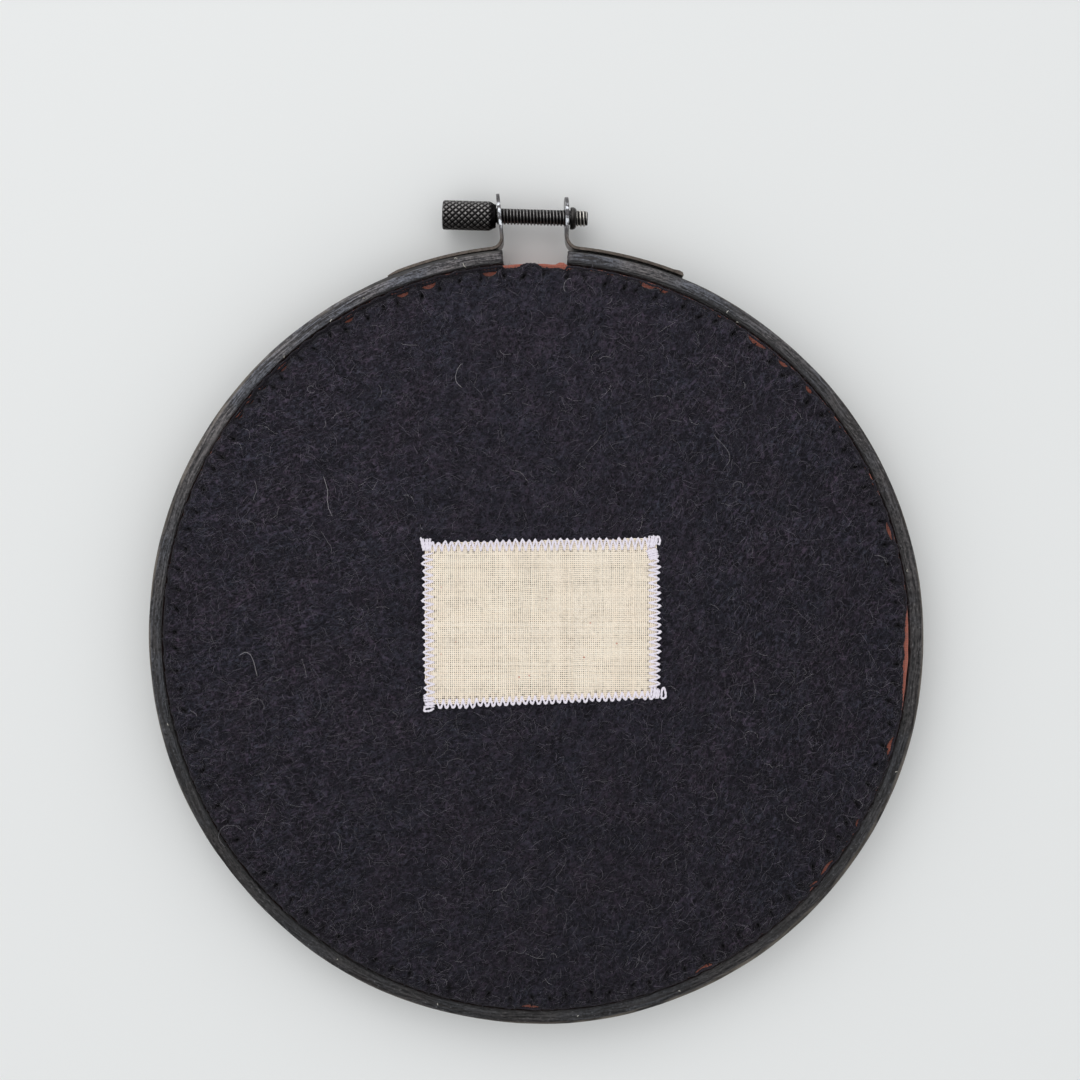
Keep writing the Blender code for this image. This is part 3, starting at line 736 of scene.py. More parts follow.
def felt_height(radius, clock):
    """Top of the felt: soft lumps, rolled edge, and a pit and groove at each stitch."""
    x, y = clock_xy(radius, clock)
    inward = np.maximum(felt_edge(clock) - radius, 0.0)
    lumps = 0.05 * MM * plane_noise(x, y, 9.0 * MM, 11) + 0.03 * MM * plane_noise(x, y, 3.2 * MM, 12)
    roll = 1.1 * MM
    share = np.clip(1.0 - inward / roll, 0.0, 1.0)
    rolled = roll * (1.0 - np.sqrt(1.0 - share ** 2 * 0.98))
    phase, near = stitch_phase(clock)
    middle = np.sin(math.pi * phase)
    puff = 0.26 * MM * middle * np.exp(-((inward - 1.5 * MM) / (1.2 * MM)) ** 2)
    pit_in, sideways = stitch_place(radius, clock, near)
    pit = 0.85 * MM * STITCH["depth"][near] * np.exp(
        -(sideways / (0.36 * MM)) ** 2 - ((pit_in + 0.1 * MM) / (0.50 * MM)) ** 2)
    along = 1.0 / (1.0 + np.exp(-pit_in / (0.18 * MM)))
    groove = 0.38 * MM * STITCH["depth"][near] * along * np.exp(-(sideways / (0.46 * MM)) ** 2)
    draw = 0.18 * MM * (1.0 - middle) * np.exp(-(pit_in / (1.6 * MM)) ** 2)
    height = FELT_TOP + lumps + puff - rolled - pit - groove - draw
    return np.maximum(height, FELT_LOW.z + 0.12 * MM)


def felt_pit_shade(radius, clock):
    """How far into a stitch's pit or groove a place lies, and how near the felt's edge, 0 to 1: painted shade
    that darkens the felt's colour there.
    """
    _, near = stitch_phase(clock)
    pit_in, sideways = stitch_place(radius, clock, near)
    wedge = (0.42 + 0.14 * np.clip(pit_in / MM, 0.0, 2.0)) * MM
    pit = 1.2 * np.exp(-(sideways / wedge) ** 2 - (pit_in / (0.62 * MM)) ** 2)
    along = np.exp(-np.maximum(pit_in, 0.0) / (2.0 * MM)) / (1.0 + np.exp(-pit_in / (0.20 * MM)))
    groove = 0.72 * along * np.exp(-(sideways / wedge) ** 2)
    band = 0.45 + 0.60 * np.clip(1.0 - (apart(clock, 345.0) / 50.0) ** 2, 0.0, 1.0)
    edge = 0.65 * np.clip(1.0 - (felt_edge(clock) - radius) / (band * MM), 0.0, 1.0)
    return np.clip(STITCH["depth"][near] * np.maximum(pit, groove) + edge, 0.0, 1.0)


def felt_height_at(x, y):
    angle = np.arctan2(x, y)
    return felt_height(np.hypot(x, y) / oval(angle), np.degrees(angle))


def make_felt(material):
    """Felt round as one closed sheet, fine near its sewn edge and closer set at each stitch."""
    per_stitch = 12
    count = STITCHES * per_stitch
    clocks, indexes = stitch_row()
    steps = np.arange(count) / per_stitch
    steps = steps - 0.6 / TURN * np.sin(TURN * steps)
    clock = np.interp(steps, indexes, clocks)
    edge = felt_edge(clock)
    depths = np.concatenate((
        [0.0, 0.03, 0.1, 0.2, 0.32], np.arange(0.48, 4.3, 0.19), np.arange(4.6, 9.0, 0.8),
        [11.0, 15.0, 20.0, 27.0, 35.0, 45.0, 57.0, 69.0])) * MM
    top = []
    dark = []
    for depth in depths:
        radius = np.maximum(edge - depth, 0.0) if depth < 9.0 * MM else np.full(count, 76.0 * MM - depth)
        x, y = clock_xy(radius, clock)
        top.append(np.stack((x, y, felt_height(radius, clock)), axis=-1))
        dark.append(felt_pit_shade(radius, clock))
    under = []
    for depth in (0.0, 0.4, 9.0, 60.0):
        radius = edge - depth * MM
        x, y = clock_xy(radius, clock)
        low = FELT_LOW.z + (0.10 * MM if depth == 0.0 else 0.0)
        under.append(np.stack((x, y, np.full(count, low)), axis=-1))
    rows = np.array(under[::-1] + top)
    felt = closed_round("felt_round", rows, FELT_LOW.z, FELT_TOP, material)
    dark = np.concatenate((np.zeros((len(under), count)), dark)).ravel()
    # Painted shade weights for the pits, grooves and edge, kept as the pit attribute.
    painted_pit_shade = felt.data.attributes.new("pit", "FLOAT", "POINT")
    painted_pit_shade.data.foreach_set("value", np.concatenate((dark, [0.0, 0.0])).astype(np.float32))
    return felt


def hair_paths(x, y, heading, length, bend, lift, points, wiggle=0.25):
    """Curved hairs lying on the felt from the given starts, and drooping past its edge."""
    reach = FELT_RADIUS + 0.15 * MM
    count = len(x)
    step = length / (points - 1)
    path = np.empty((count, points, 3))
    rise = lift * rng.uniform(0.2, 1.0, count)
    for k in range(points):
        path[:, k, 0], path[:, k, 1] = x, y
        beyond = np.clip((np.hypot(x, y) - reach) / (0.8 * MM), 0.0, 1.0)
        ground = np.minimum(felt_height_at(x, y), FELT_TOP + 0.3 * MM)
        ground = np.where(beyond > 0.0, FELT_TOP - (0.5 + 0.6 * beyond) * MM, ground)
        path[:, k, 2] = ground + 0.015 * MM + rise * math.sin(math.pi * k / (points - 1))
        x = x + np.cos(heading) * step
        y = y + np.sin(heading) * step
        heading = heading + bend / (points - 1) + wiggle * rng.normal(size=count)
    return path


def scattered_hairs(count, low, high, lift, curl, points, inner=0.0, outer=FELT_RADIUS - 0.6 * MM):
    """Random hairs over the felt between two radii, none of them under the label."""
    radius = np.sqrt(rng.uniform(inner ** 2, outer ** 2, count))
    x, y = clock_xy(radius, rng.uniform(0.0, 360.0, count))
    heading = rng.normal(0.65, 0.85, count) + 0.6 * plane_noise(x, y, 14.0 * MM, 21)
    length = rng.uniform(low, high, count)
    bend = rng.normal(0.0, curl, count)
    shown = ~inside_label(x, y, 1.0 * MM)
    return hair_paths(x[shown], y[shown], heading[shown], length[shown], bend[shown], lift, points)


def make_felt_hairs():
    dull = hair_material("felt_hair", (0.018, 0.015, 0.022), (0.24, 0.215, 0.265))
    pieces = []
    long_hairs = scattered_hairs(8600, 1.2 * MM, 3.4 * MM, 0.14 * MM, 1.1, 4)
    thick = rng.uniform(0.012, 0.026, (len(long_hairs), 1)) * MM
    pieces.append(add_tubes("felt_hairs_long", long_hairs, thick * np.array([0.6, 1.0, 1.0, 0.5]), 3, dull))
    short_hairs = scattered_hairs(12800, 0.6 * MM, 1.7 * MM, 0.12 * MM, 1.0, 3)
    thick = rng.uniform(0.012, 0.026, (len(short_hairs), 1)) * MM
    pieces.append(add_tubes("felt_hairs_short", short_hairs, thick * np.array([0.6, 1.0, 0.5]), 3, dull))
    edge = scattered_hairs(2400, 0.5 * MM, 1.5 * MM, 0.18 * MM, 1.6, 3, inner=74.2 * MM,
                           outer=FELT_RADIUS + 0.1 * MM)
    thick = rng.uniform(0.009, 0.020, (len(edge), 1)) * MM
    pieces.append(add_tubes("felt_hairs_edge", edge, thick * np.array([0.6, 1.0, 0.5]), 3, dull))
    return pieces


def make_lint():
    """The light hairs that stand out, and fainter ones scattered between them."""
    bright = hair_material("light_lint", (0.20, 0.19, 0.21), (0.66, 0.63, 0.66))
    radius = np.array([row["radius"] for row in LINT]) * MM
    x, y = clock_xy(radius, np.array([row["clock"] for row in LINT]))
    heading = np.radians([row["heading"] for row in LINT])
    length = np.array([row["length"] for row in LINT]) * MM
    bend = np.radians([row["bend"] for row in LINT])
    placed = hair_paths(x, y, heading, length, bend, 0.35 * MM, 16, wiggle=0.18)
    thick = np.array([[0.012 + 0.020 * row["bright"]] for row in LINT]) * MM
    placed = add_tubes("light_lint", placed, thick * np.ones(16), 4, bright)
    faint = scattered_hairs(260, 1.5 * MM, 5.0 * MM, 0.30 * MM, 1.3, 8)
    faint = add_tubes("stray_hairs", faint, 0.013 * MM, 3, bright)
    return [placed, faint]


def make_specks():
    """Bits of lint and pale chips caught on the wood."""
    pale = hair_material("pale_speck", (0.45, 0.43, 0.38), (0.90, 0.88, 0.82), 0.0)
    paths = []
    for row in SPECKS:
        x, y = clock_xy(row["radius"] * MM, row["clock"])
        heading = math.radians(row["heading"])
        along = np.linspace(-0.5, 0.5, 6) * row["length"] * MM
        curl = 0.10 * MM * np.sin(np.linspace(0.0, 5.0, 6))
        z = RING_TOP - 0.02 * MM + 0.10 * MM * np.cos(np.linspace(-1.5, 1.5, 6))
        paths.append(np.stack((x + along * math.cos(heading) - curl * math.sin(heading),
                               y + along * math.sin(heading) + curl * math.cos(heading), z), axis=-1))
    width = np.array([0.035, 0.075, 0.09, 0.08, 0.06, 0.03]) * MM
    return add_tubes("specks", np.array(paths), width, 6, pale)


# Sewing round the felt

def make_stitches(material):
    """Short fuzzy stitches, each out of its pit and over the felt's edge in its groove."""
    loose = rng.uniform(-0.24, 0.02, STITCHES)
    paths = []
    for k in range(STITCHES):
        clock = STITCH["clock"][k]
        pit = STITCH["pit"][k]
        edge = float(felt_edge(np.array([clock]))[0])

        def leaning(radius):
            return clock + math.degrees(STITCH["slant"][k] * (radius - pit) / radius)

        points = []
        raised = loose[k]
        for radius, lift in ((pit - 0.05 * MM, -0.5), (pit + 0.30 * MM, raised), (pit + 0.80 * MM, raised),
                             (pit + 1.35 * MM, 0.5 * raised), (edge - 0.35 * MM, 0.03)):
            at = leaning(radius)
            height = float(felt_height(np.array([radius]), np.array([at]))[0])
            points.append((*clock_xy(radius, at), height + lift * MM))
        last = leaning(edge)
        points.append((*clock_xy(edge + 0.15 * MM, last), FELT_TOP - 0.80 * MM))
        points.append((*clock_xy(edge + 0.30 * MM, last), HEM_TOP + 0.15 * MM))
        paths.append(resample(points, 13))
    strands = twisted_plies(np.array(paths), 0.10 * MM, 1.3 * MM)
    return add_tubes("edge_stitches", strands, 0.125 * MM, 5, material)


def make_edge_run(material, dark_material):
    """The sewing's long run from stitch to stitch between the felt and the wood, doubled at the top left."""
    paths = []
    dark_paths = []
    clocks = np.concatenate((STITCH["clock"], STITCH["clock"][:1] + 360.0))
    for k in range(STITCHES):
        clock = np.linspace(clocks[k], clocks[k + 1], 12)
        edge = felt_edge(clock)
        x_out = clock_xy(OUTER_RADIUS, clock)[0]
        open_gap = (np.abs(apart(clock, 0.0)) < 20.0) & (x_out > CUT_LEFT) & (x_out < CUT_RIGHT)
        bare = np.abs(apart(clock, BARE_WINDOW["clock"])) < BARE_WINDOW["half"]
        sag = np.sin(math.pi * np.linspace(0.0, 1.0, 12))
        radius = RUN_RADIUS + 0.2 * toward_low_left(clock) + 0.09 * MM * ring_noise(clock, 60, 170, 61)
        radius = np.where(open_gap | bare, edge - 0.05 * MM, radius)
        z = HEM_TOP + (0.80 - 0.10 * sag + 0.10 * ring_noise(clock, 50, 150, 62)) * MM
        doubled = 302.0 < clocks[k] < 354.0
        (dark_paths if doubled else paths).append(np.stack((*clock_xy(radius, clock), z), axis=-1))
        if doubled:
            inner = np.minimum(radius - 0.42 * MM, edge + 0.12 * MM)
            inner = np.maximum(inner, RUN_RADIUS - 0.62 * MM)
            z = HEM_TOP + (0.55 + 0.10 * ring_noise(clock, 50, 150, 64)) * MM
            dark_paths.append(np.stack((*clock_xy(inner, clock), z), axis=-1))
    strands = twisted_plies(np.array(paths), 0.14 * MM, 1.5 * MM)
    dark_strands = twisted_plies(np.array(dark_paths), 0.14 * MM, 1.5 * MM)
    return [add_tubes("edge_run", strands, 0.19 * MM, 5, material),
            add_tubes("edge_run_top_left", dark_strands, 0.24 * MM, 5, dark_material)]


# Cloth

def make_cloth(material):
    """The stretched cloth: front, wall between the rings, and gathered hem turned in."""
    thick = 0.35 * MM
    round_out = 1.2 * MM
    round_top = 0.45 * MM
    wall = CLOTH_RADIUS + 0.20 * MM
    count = 600
    clock = 360.0 * np.arange(count) / count
    outside = [(30.0 * MM, 0.0), (60.0 * MM, 0.0), (CLOTH_RADIUS - 2.4 * MM, 0.0)]
    for turn in np.radians(15.0 * np.arange(7)):
        outside.append((CLOTH_RADIUS - round_out + round_out * math.sin(turn),
                        round_out - round_out * math.cos(turn)))
    outside += [(CLOTH_RADIUS, 4.0 * MM), (wall, 8.0 * MM)]
    for turn in np.radians(15.0 * np.arange(7)):
        outside.append((wall - round_top + round_top * math.cos(turn),
                        HEM_TOP - round_top + round_top * math.sin(turn)))
    outside += [(at * MM, HEM_TOP) for at in (76.0, 75.4, 74.6, 73.4, 71.5, 69.0, 66.2)]
    profile = np.array(outside)
    tangent = unit(np.gradient(profile, axis=0))
    inward = np.stack((-tangent[:, 1], tangent[:, 0]), axis=-1)
    inner = profile + inward * thick
    section = np.concatenate((profile, inner[::-1]))
    radius = np.broadcast_to(section[:, :1], (len(section), count)).copy()
    z = np.broadcast_to(section[:, 1:], (len(section), count)).copy()
    wrap = np.clip((z - 7.0 * MM) / (HEM_TOP - 7.0 * MM), 0.0, 1.0) * (radius > 60.0 * MM)
    folds = 0.6 * ring_noise(clock, 90, 150, 31) + 0.5 * ring_noise(clock, 20, 60, 32)
    inside = np.clip((CLOTH_RADIUS - radius) / (6.0 * MM), 0.0, 1.0)
    z += wrap * (0.10 + 0.10 * inside) * MM * (folds - 1.0)
    radius += wrap * 0.05 * MM * (folds - 1.0) + wrap * toward_low_left(clock) * (radius < 75.5 * MM)
    peak = 0.80 * np.exp(-(apart(clock, 3.9) / 0.55) ** 2) + 0.12 * np.exp(-(apart(clock, 1.2) / 2.4) ** 2)
    radius += wrap ** 2 * (radius > 75.0 * MM) * peak * MM
    x, y = clock_xy(radius, clock)
    rows = np.stack((x, y, z), axis=-1)
    return closed_round("stretched_cloth", rows, 0.0, thick, material)


# Wooden ring

def make_ring(material):
    """Bent strip with a crowned top, rounded edges as from wear, grain ridges and rough cut ends."""
    steps = 540
    count = 72
    middle = (OUTER_BORE + OUTER_RADIUS) / 2
    start = math.degrees(math.asin(CUT_RIGHT / middle))
    stop = 360.0 + math.degrees(math.asin(CUT_LEFT / middle))
    clock = np.linspace(start, stop, steps)[:, None]
    angle = np.radians(clock)
    low, high = RING_LOW.z, RING_HIGH.z
    corners = (
        # centre radius, centre z, rounding, first angle
        (OUTER_RADIUS - 0.5 * MM, low + 0.5 * MM, 0.5 * MM, -90.0),
        (OUTER_RADIUS - 0.5 * MM, high - 0.5 * MM, 0.5 * MM, 0.0),
        (OUTER_BORE + 0.45 * MM, high - 0.45 * MM, 0.45 * MM, 90.0),
        (OUTER_BORE + 0.35 * MM, low + 0.35 * MM, 0.35 * MM, 180.0),
    )
    section = []
    for radius, z, rounding, first in corners:
        for turn in np.radians(first + np.linspace(0.0, 90.0, 6)):
            section.append((radius + rounding * math.cos(turn), z + rounding * math.sin(turn)))
    section = np.array(section + section[:1])
    pieces = np.linalg.norm(np.diff(section, axis=0), axis=1)
    on_top = np.minimum(section[1:, 1], section[:-1, 1]) > high - 0.75 * MM
    travelled = np.concatenate(([0.0], np.cumsum(pieces * np.where(on_top, 3.5, 1.0))))
    wanted = np.linspace(0.0, travelled[-1], count, endpoint=False)
    r = np.interp(wanted, travelled, section[:, 0])
    z = np.interp(wanted, travelled, section[:, 1])
    crown = 0.12 * MM * ((r - middle) / (RING_WALL / 2)) ** 2
    z = z - crown * (z > high - 1.0 * MM)
    along = np.roll(r, -1) - np.roll(r, 1), np.roll(z, -1) - np.roll(z, 1)
    length = np.hypot(*along)
    out_r, out_z = along[1] / length, -along[0] / length
    place = np.arange(count)[None, :] * TURN / count
    ridges = np.zeros((steps, count))
    local = np.random.default_rng(44)
    waves = 26
    for _ in range(waves):
        bend = 1.3 * np.sin(local.uniform(2.0, 9.0) * angle + local.uniform(0, TURN))
        swell = np.sin(local.uniform(3.0, 40.0) * angle + local.uniform(0, TURN))
        ridges += np.sin(local.integers(9, 40) * place + local.uniform(0, TURN) + bend) * swell
    ridges *= 0.045 * MM / math.sqrt(waves)
    wave = 0.05 * MM * ring_noise(clock, 3, 12, 45)
    radius = r[None] + out_r[None] * (ridges + wave)
    height = z[None] + out_z[None] * (ridges + wave)
    x, y = clock_xy(radius, clock)
    rough = np.random.default_rng(46).normal(0.0, 0.06 * MM, (2, count))
    for end, sign in ((0, 1.0), (-1, -1.0)):
        slide = rough[end] + 0.12 * MM * np.sin(place[0] * 3.0 + end)
        x[end] += sign * slide * math.cos(angle[end, 0])
        y[end] -= sign * slide * math.sin(angle[end, 0])
    points = np.stack((x, y, height), axis=-1)
    faces = [grid_faces(steps, count, wrap_columns=True)[:, ::-1]]
    total = steps * count
    extra = []
    for end, outward in ((0, -1.0), (-1, 1.0)):
        previous = (0 if end == 0 else (steps - 1) * count) + np.arange(count)
        rim = points[end]
        centre = rim.mean(axis=0)
        heading = np.array((math.cos(angle[end, 0]), -math.sin(angle[end, 0]), 0.0)) * outward
        for share in (0.9, 0.7, 0.45, 0.2):
            fresh = centre + (rim - centre) * share
            jag = local.normal(0.0, 0.05 * MM, (count, 1)) + 0.10 * MM * (1.0 - share)
            extra.append(fresh + heading * jag)
            current = total + np.arange(count)
            total += count
            quads = np.stack((previous, np.roll(previous, -1), np.roll(current, -1), current), axis=-1)
            faces.append(quads if end == 0 else quads[:, ::-1])
            previous = current
        extra.append(centre[None])
        fan = np.stack((previous, np.roll(previous, -1), np.full(count, total)), axis=-1)
        faces.append(fan if end == 0 else fan[:, ::-1])
        total += 1
    points = np.concatenate([points.reshape(-1, 3)] + [block.reshape(-1, 3) for block in extra])
    return add_mesh("wooden_ring", points, faces, material)


# Label

def label_edges():
    return np.array([(row["x"], row["y"]) for row in LABEL_CORNERS]) * MM


def inside_label(x, y, inset):
    """True for points inside the label's outline, drawn in by the inset."""
    corners = label_edges()
    centre = corners.mean(axis=0)
    result = np.ones(np.broadcast(x, y).shape, bool)
    for a, b in zip(corners, np.roll(corners, -1, axis=0)):
        normal = np.array((-(b - a)[1], (b - a)[0])) / np.linalg.norm(b - a)
        if normal @ (centre - a) < 0.0:
            normal = -normal
        result &= (x - a[0]) * normal[0] + (y - a[1]) * normal[1] > inset
    return result


def needle_holes():
    """Where the zigzag goes down through the label."""
    holes = []
    for side in ZIGZAG_SIDES:
        first, last = np.array(side["inner"]) * MM
        outward = unit(np.array(side["outer"][0]) - np.array(side["inner"][0]))
        share = (np.arange(side["loops"] + 1) / side["loops"])[:, None]
        holes.append(first + (last - first) * share - 0.22 * MM * outward)
    return np.concatenate(holes)


def make_label_sheet(material):
    """The label's cloth as one thin sheet, which shows only through the weave's holes."""
    corners = label_edges()
    rim = np.concatenate([a + (b - a) * np.linspace(0.0, 1.0, 25)[:-1, None]
                          for a, b in zip(corners, np.roll(corners, -1, axis=0))])
    centre = corners.mean(axis=0)
    rim = centre + (rim - centre) * 0.995
    low, high = LABEL_LOW.z, LABEL_LOW.z + 0.02 * MM
    rows = []
    for share, z in ((0.5, low), (1.0, low), (1.0, high), (0.5, high)):
        flat = centre + (rim - centre) * share
        rows.append(np.concatenate((flat, np.full((len(rim), 1), z)), axis=1))
    return closed_round("label_cloth", np.array(rows), low, high, material, centre)


def make_label_weave(material):
    """Plain weave of flat yarns, over one and under one, open in some patches and close in others."""
    pitch = 0.412 * MM
    corners = label_edges()
    low, high = corners.min(axis=0), corners.max(axis=0)
    columns = int((high[0] - low[0]) / pitch) + 1
    rows = int((high[1] - low[1]) / pitch) + 1
    x = low[0] + pitch * (np.arange(columns) + 0.035 * rng.normal(size=columns))
    y = low[1] + pitch * (np.arange(rows) + 0.045 * rng.normal(size=rows))
    grid_x = x[:, None] + 0.10 * pitch * plane_noise(x[:, None], y[None], 9.0 * MM, 51)
    grid_y = y[None] + 0.10 * pitch * plane_noise(x[:, None], y[None], 8.0 * MM, 52)
    over = (np.add.outer(np.arange(columns), np.arange(rows)) % 2) * 2.0 - 1.0
    middle = LABEL_LOW.z + 0.13 * MM
    swell = 0.055 * MM
    inside = inside_label(grid_x, grid_y, 0.1 * MM)
    patch = plane_noise(grid_x, grid_y, 9.0 * MM, 53)
    lines = rng.normal(0.0, 0.012, (columns, 1)) + rng.normal(0.0, 0.015, (1, rows))
    cover = 0.308 - 0.014 * patch + lines + 0.030 * rng.normal(size=grid_x.shape)
    away = np.min([np.hypot(grid_x - hole[0], grid_y - hole[1]) for hole in needle_holes()], axis=0)
    cover = np.where(away < 0.25 * MM, 0.30 * cover, cover)
    warp = np.stack((grid_x, grid_y, middle + swell * over), axis=-1)
    weft = np.stack((grid_x, grid_y, middle - swell * over), axis=-1).transpose(1, 0, 2)
    parts = []
    for paths, kept, share in ((warp, inside, cover), (weft, inside.T, cover.T)):
        yarn = 0.06 * (rng.uniform(size=(len(paths), 1)) > 0.94)
        half = pitch * np.clip(share + yarn, 0.12, 0.49)
        parts.append(tube_parts(paths, half / math.cos(math.pi / 4), 4, 0.30, kept[:, 1:] & kept[:, :-1],
                                math.pi / 4))
    shift = len(parts[0][0])
    points = np.concatenate((parts[0][0], parts[1][0]))
    faces = parts[0][1] + [block + shift for block in parts[1][1]]
    return add_mesh("label_yarns", points, faces, material)


def make_label_sewing(material):
    """Zigzag over the label's four edges, packed blocks at the corners and one open loop."""
    samples = 11
    top = LABEL_LOW.z + 0.30 * MM
    strands = []
    t = np.linspace(0.0, 1.0, samples)
    rise = 1.0 - np.abs(2.0 * t - 1.0) ** 1.6
    for side in ZIGZAG_SIDES:
        outer, inner = np.array(side["outer"]) * MM, np.array(side["inner"]) * MM
        wander = rng.normal(0.0, 0.07, side["loops"] + 1)
        for k in range(side["loops"]):
            ends = (k + wander[k], k + 1 + wander[k + 1])
            share = ((ends[0] + (ends[1] - ends[0]) * t) / side["loops"])[:, None]
            reach = (rise * (1.0 + 0.06 * rng.normal()))[:, None]
            out_line = outer[0] + (outer[1] - outer[0]) * share
            in_line = inner[0] + (inner[1] - inner[0]) * share
            flat = in_line + (out_line - in_line) * reach
            z = top + 0.10 * MM * np.sin(math.pi * rise) - 0.16 * MM * (1.0 - rise) ** 4 - 0.14 * MM * rise ** 8
            strands.append(np.concatenate((flat, z[:, None]), axis=1))
    for block in CORNER_BLOCKS:
        heading = math.radians(block["heading"])
        along = np.array((math.cos(heading), math.sin(heading)))
        across = np.array((-along[1], along[0]))
        for k in range(block["strands"]):
            offset = (k / (block["strands"] - 1) - 0.5) * block["width"] + rng.normal(0.0, 0.05)
            half = 0.5 * block["length"] * (1.0 + rng.normal(0.0, 0.06))
            run = np.linspace(-half, half, samples) + rng.normal(0.0, 0.08)
            side = offset * (1.0 + block["narrow"] * run / half)
            flat = (np.array((block["x"], block["y"])) + run[:, None] * along + side[:, None] * across) * MM
            z = top + (0.10 + 0.05 * (k % 2)) * MM - 0.32 * MM * np.abs(np.linspace(-1.0, 1.0, samples)) ** 5
            strands.append(np.concatenate((flat, z[:, None]), axis=1))
    for points in CORNER_LOOPS:
        loop = np.array(points) * MM
        loop = np.concatenate((loop, np.full((len(loop), 1), top)), axis=1)
        loop = resample(loop, 2 * samples - 1)
        strands += [loop[:samples], loop[samples - 1:]]
    plies = twisted_plies(np.array(strands), 0.105 * MM, 1.6 * MM)
    return add_tubes("label_sewing", plies, 0.165 * MM, 6, material)


# Screw

def screw_matrix():
    turn = Vector((1.0, 0.0, 0.0)).rotation_difference(SCREW_AXIS).to_matrix().to_4x4()
    return Matrix.Translation(SCREW_POINT) @ turn


HEAD_START = -19.5 * MM
KNURL_END = -9.75 * MM
CONE_END = -8.75 * MM
HEAD_END = -8.4 * MM
HEAD_RADIUS = 3.05 * MM
NECK_RADIUS = 2.5 * MM
ROD_RADIUS = 1.68 * MM
ROD_END = 10.7 * MM
THREAD_PITCH = 0.69 * MM
THREAD_DEPTH = 0.34 * MM
KNURL_PITCH = 1.33 * MM
KNURL_STARTS = 14
KNURL_DEPTH = 0.30 * MM
BARE_FROM = 8.3 * MM


def triangle_wave(value):
    """0 in the groove and 1 on the crest, once each turn of the value."""
    return 1.0 - 2.0 * np.abs(value - np.floor(value) - 0.5)


def turned_rows(x, radius):
    turn = TURN * np.arange(radius.shape[1]) / radius.shape[1]
    return np.stack((x, radius * np.cos(turn), radius * np.sin(turn)), axis=-1)


def make_head(material):
    """Knurled head with crossing grooves that run out over its coned neck."""
    turn = np.arange(KNURL_STARTS * 12)[None, :] / (KNURL_STARTS * 12)
    x = np.linspace(HEAD_START, CONE_END, 104)[:, None] + 0.0 * turn
    one = triangle_wave(KNURL_STARTS * turn + x / KNURL_PITCH)
    two = triangle_wave(KNURL_STARTS * turn - x / KNURL_PITCH)
    crest = np.clip(np.minimum(one, two) / 0.50, 0.0, 1.0)
    cone = np.clip((x - KNURL_END) / (CONE_END - KNURL_END), 0.0, 1.0)
    body = HEAD_RADIUS + (NECK_RADIUS - HEAD_RADIUS) * cone
    start = np.clip((x - HEAD_START) / (0.45 * MM), 0.0, 1.0)
    body = body - 0.45 * MM * (1.0 - np.sqrt(1.0 - (1.0 - start) ** 2))
    radius = body - KNURL_DEPTH * (1.0 - crest) * (1.0 - cone) * start
    flat = np.zeros_like(turn)
    before = [(HEAD_START + flat, size * MM + flat) for size in (0.9, 1.9)]
    after = [(at + flat, size * MM + flat) for at, size in
             ((CONE_END + 0.15 * MM, 2.48), (HEAD_END - 0.08 * MM, 2.46), (HEAD_END, 2.36), (HEAD_END, 1.5))]
    blocks = before + [(x, radius)] + after
    rows = turned_rows(*(np.concatenate(parts) for parts in zip(*blocks)))
    head = closed_round("screw_head", rows, None, None, material)
    head.matrix_world = screw_matrix()
    return head


def make_rod(material):
    """Rod with its thread cut as one helix."""
    profile = ((0.0, 0.0), (0.12, 0.03), (0.30, 0.62), (0.42, 0.95), (0.50, 1.0), (0.58, 0.95), (0.70, 0.62),
               (0.88, 0.03))
    turn = np.arange(48)[None, :] / 48
    start, stop = HEAD_END - 0.2 * MM, ROD_END
    root = ROD_RADIUS - THREAD_DEPTH
    blocks = [(start + 0.0 * turn, 0.6 * root + 0.0 * turn), (start + 0.0 * turn, root + 0.0 * turn)]
    for k in range(-1, int((stop - start) / THREAD_PITCH) + 2):
        for share, height in profile:
            at = start + (k + share + turn) * THREAD_PITCH
            if at.max() <= start or at.min() >= stop:
                continue
            inside = (at > start) & (at < stop)
            near_end = np.clip((stop - at) / (0.45 * MM), 0.0, 1.0)
            radius = np.minimum(root + THREAD_DEPTH * height, ROD_RADIUS - 0.34 * MM * (1.0 - near_end))
            blocks.append((np.clip(at, start, stop), np.where(inside, radius, root)))
    blocks += [(stop + 0.0 * turn, 0.95 * root + 0.0 * turn), (stop + 0.0 * turn, 0.5 * root + 0.0 * turn)]
    rows = turned_rows(*(np.concatenate(parts) for parts in zip(*blocks)))
    rod = closed_round("screw_rod", rows, None, None, material)
    rod.matrix_world = screw_matrix()
    return rod


def make_nut(material):
    """Collar nut with a domed outer face."""
    length = NUT_HIGH.x - NUT_LOW.x
    outer, bore = 2.3 * MM, 1.75 * MM
    middle = (NUT_LOW + NUT_HIGH) / 2
    section = (
        # share of the length, radius
        (0.0, bore), (0.0, outer - 0.1 * MM), (0.10, outer), (0.45, outer + 0.02 * MM),
        (0.75, outer - 0.10 * MM), (0.93, outer - 0.32 * MM), (1.0, bore + 0.1 * MM), (0.96, bore))
    turn = np.arange(48)[None, :] / 48
    x = np.array([[(share - 0.5) * length] for share, _ in section]) + 0.0 * turn
    radius = np.array([[size] for _, size in section]) + 0.0 * turn
    rows = turned_rows(x, radius)
    faces = grid_faces(len(section), 48, wrap_rows=True, wrap_columns=True)[:, ::-1]
    nut = add_mesh("collar_nut", rows, [faces], material)
    nut.matrix_world = Matrix.Translation(middle) @ screw_matrix().to_3x3().to_4x4()
    return nut


# Stage

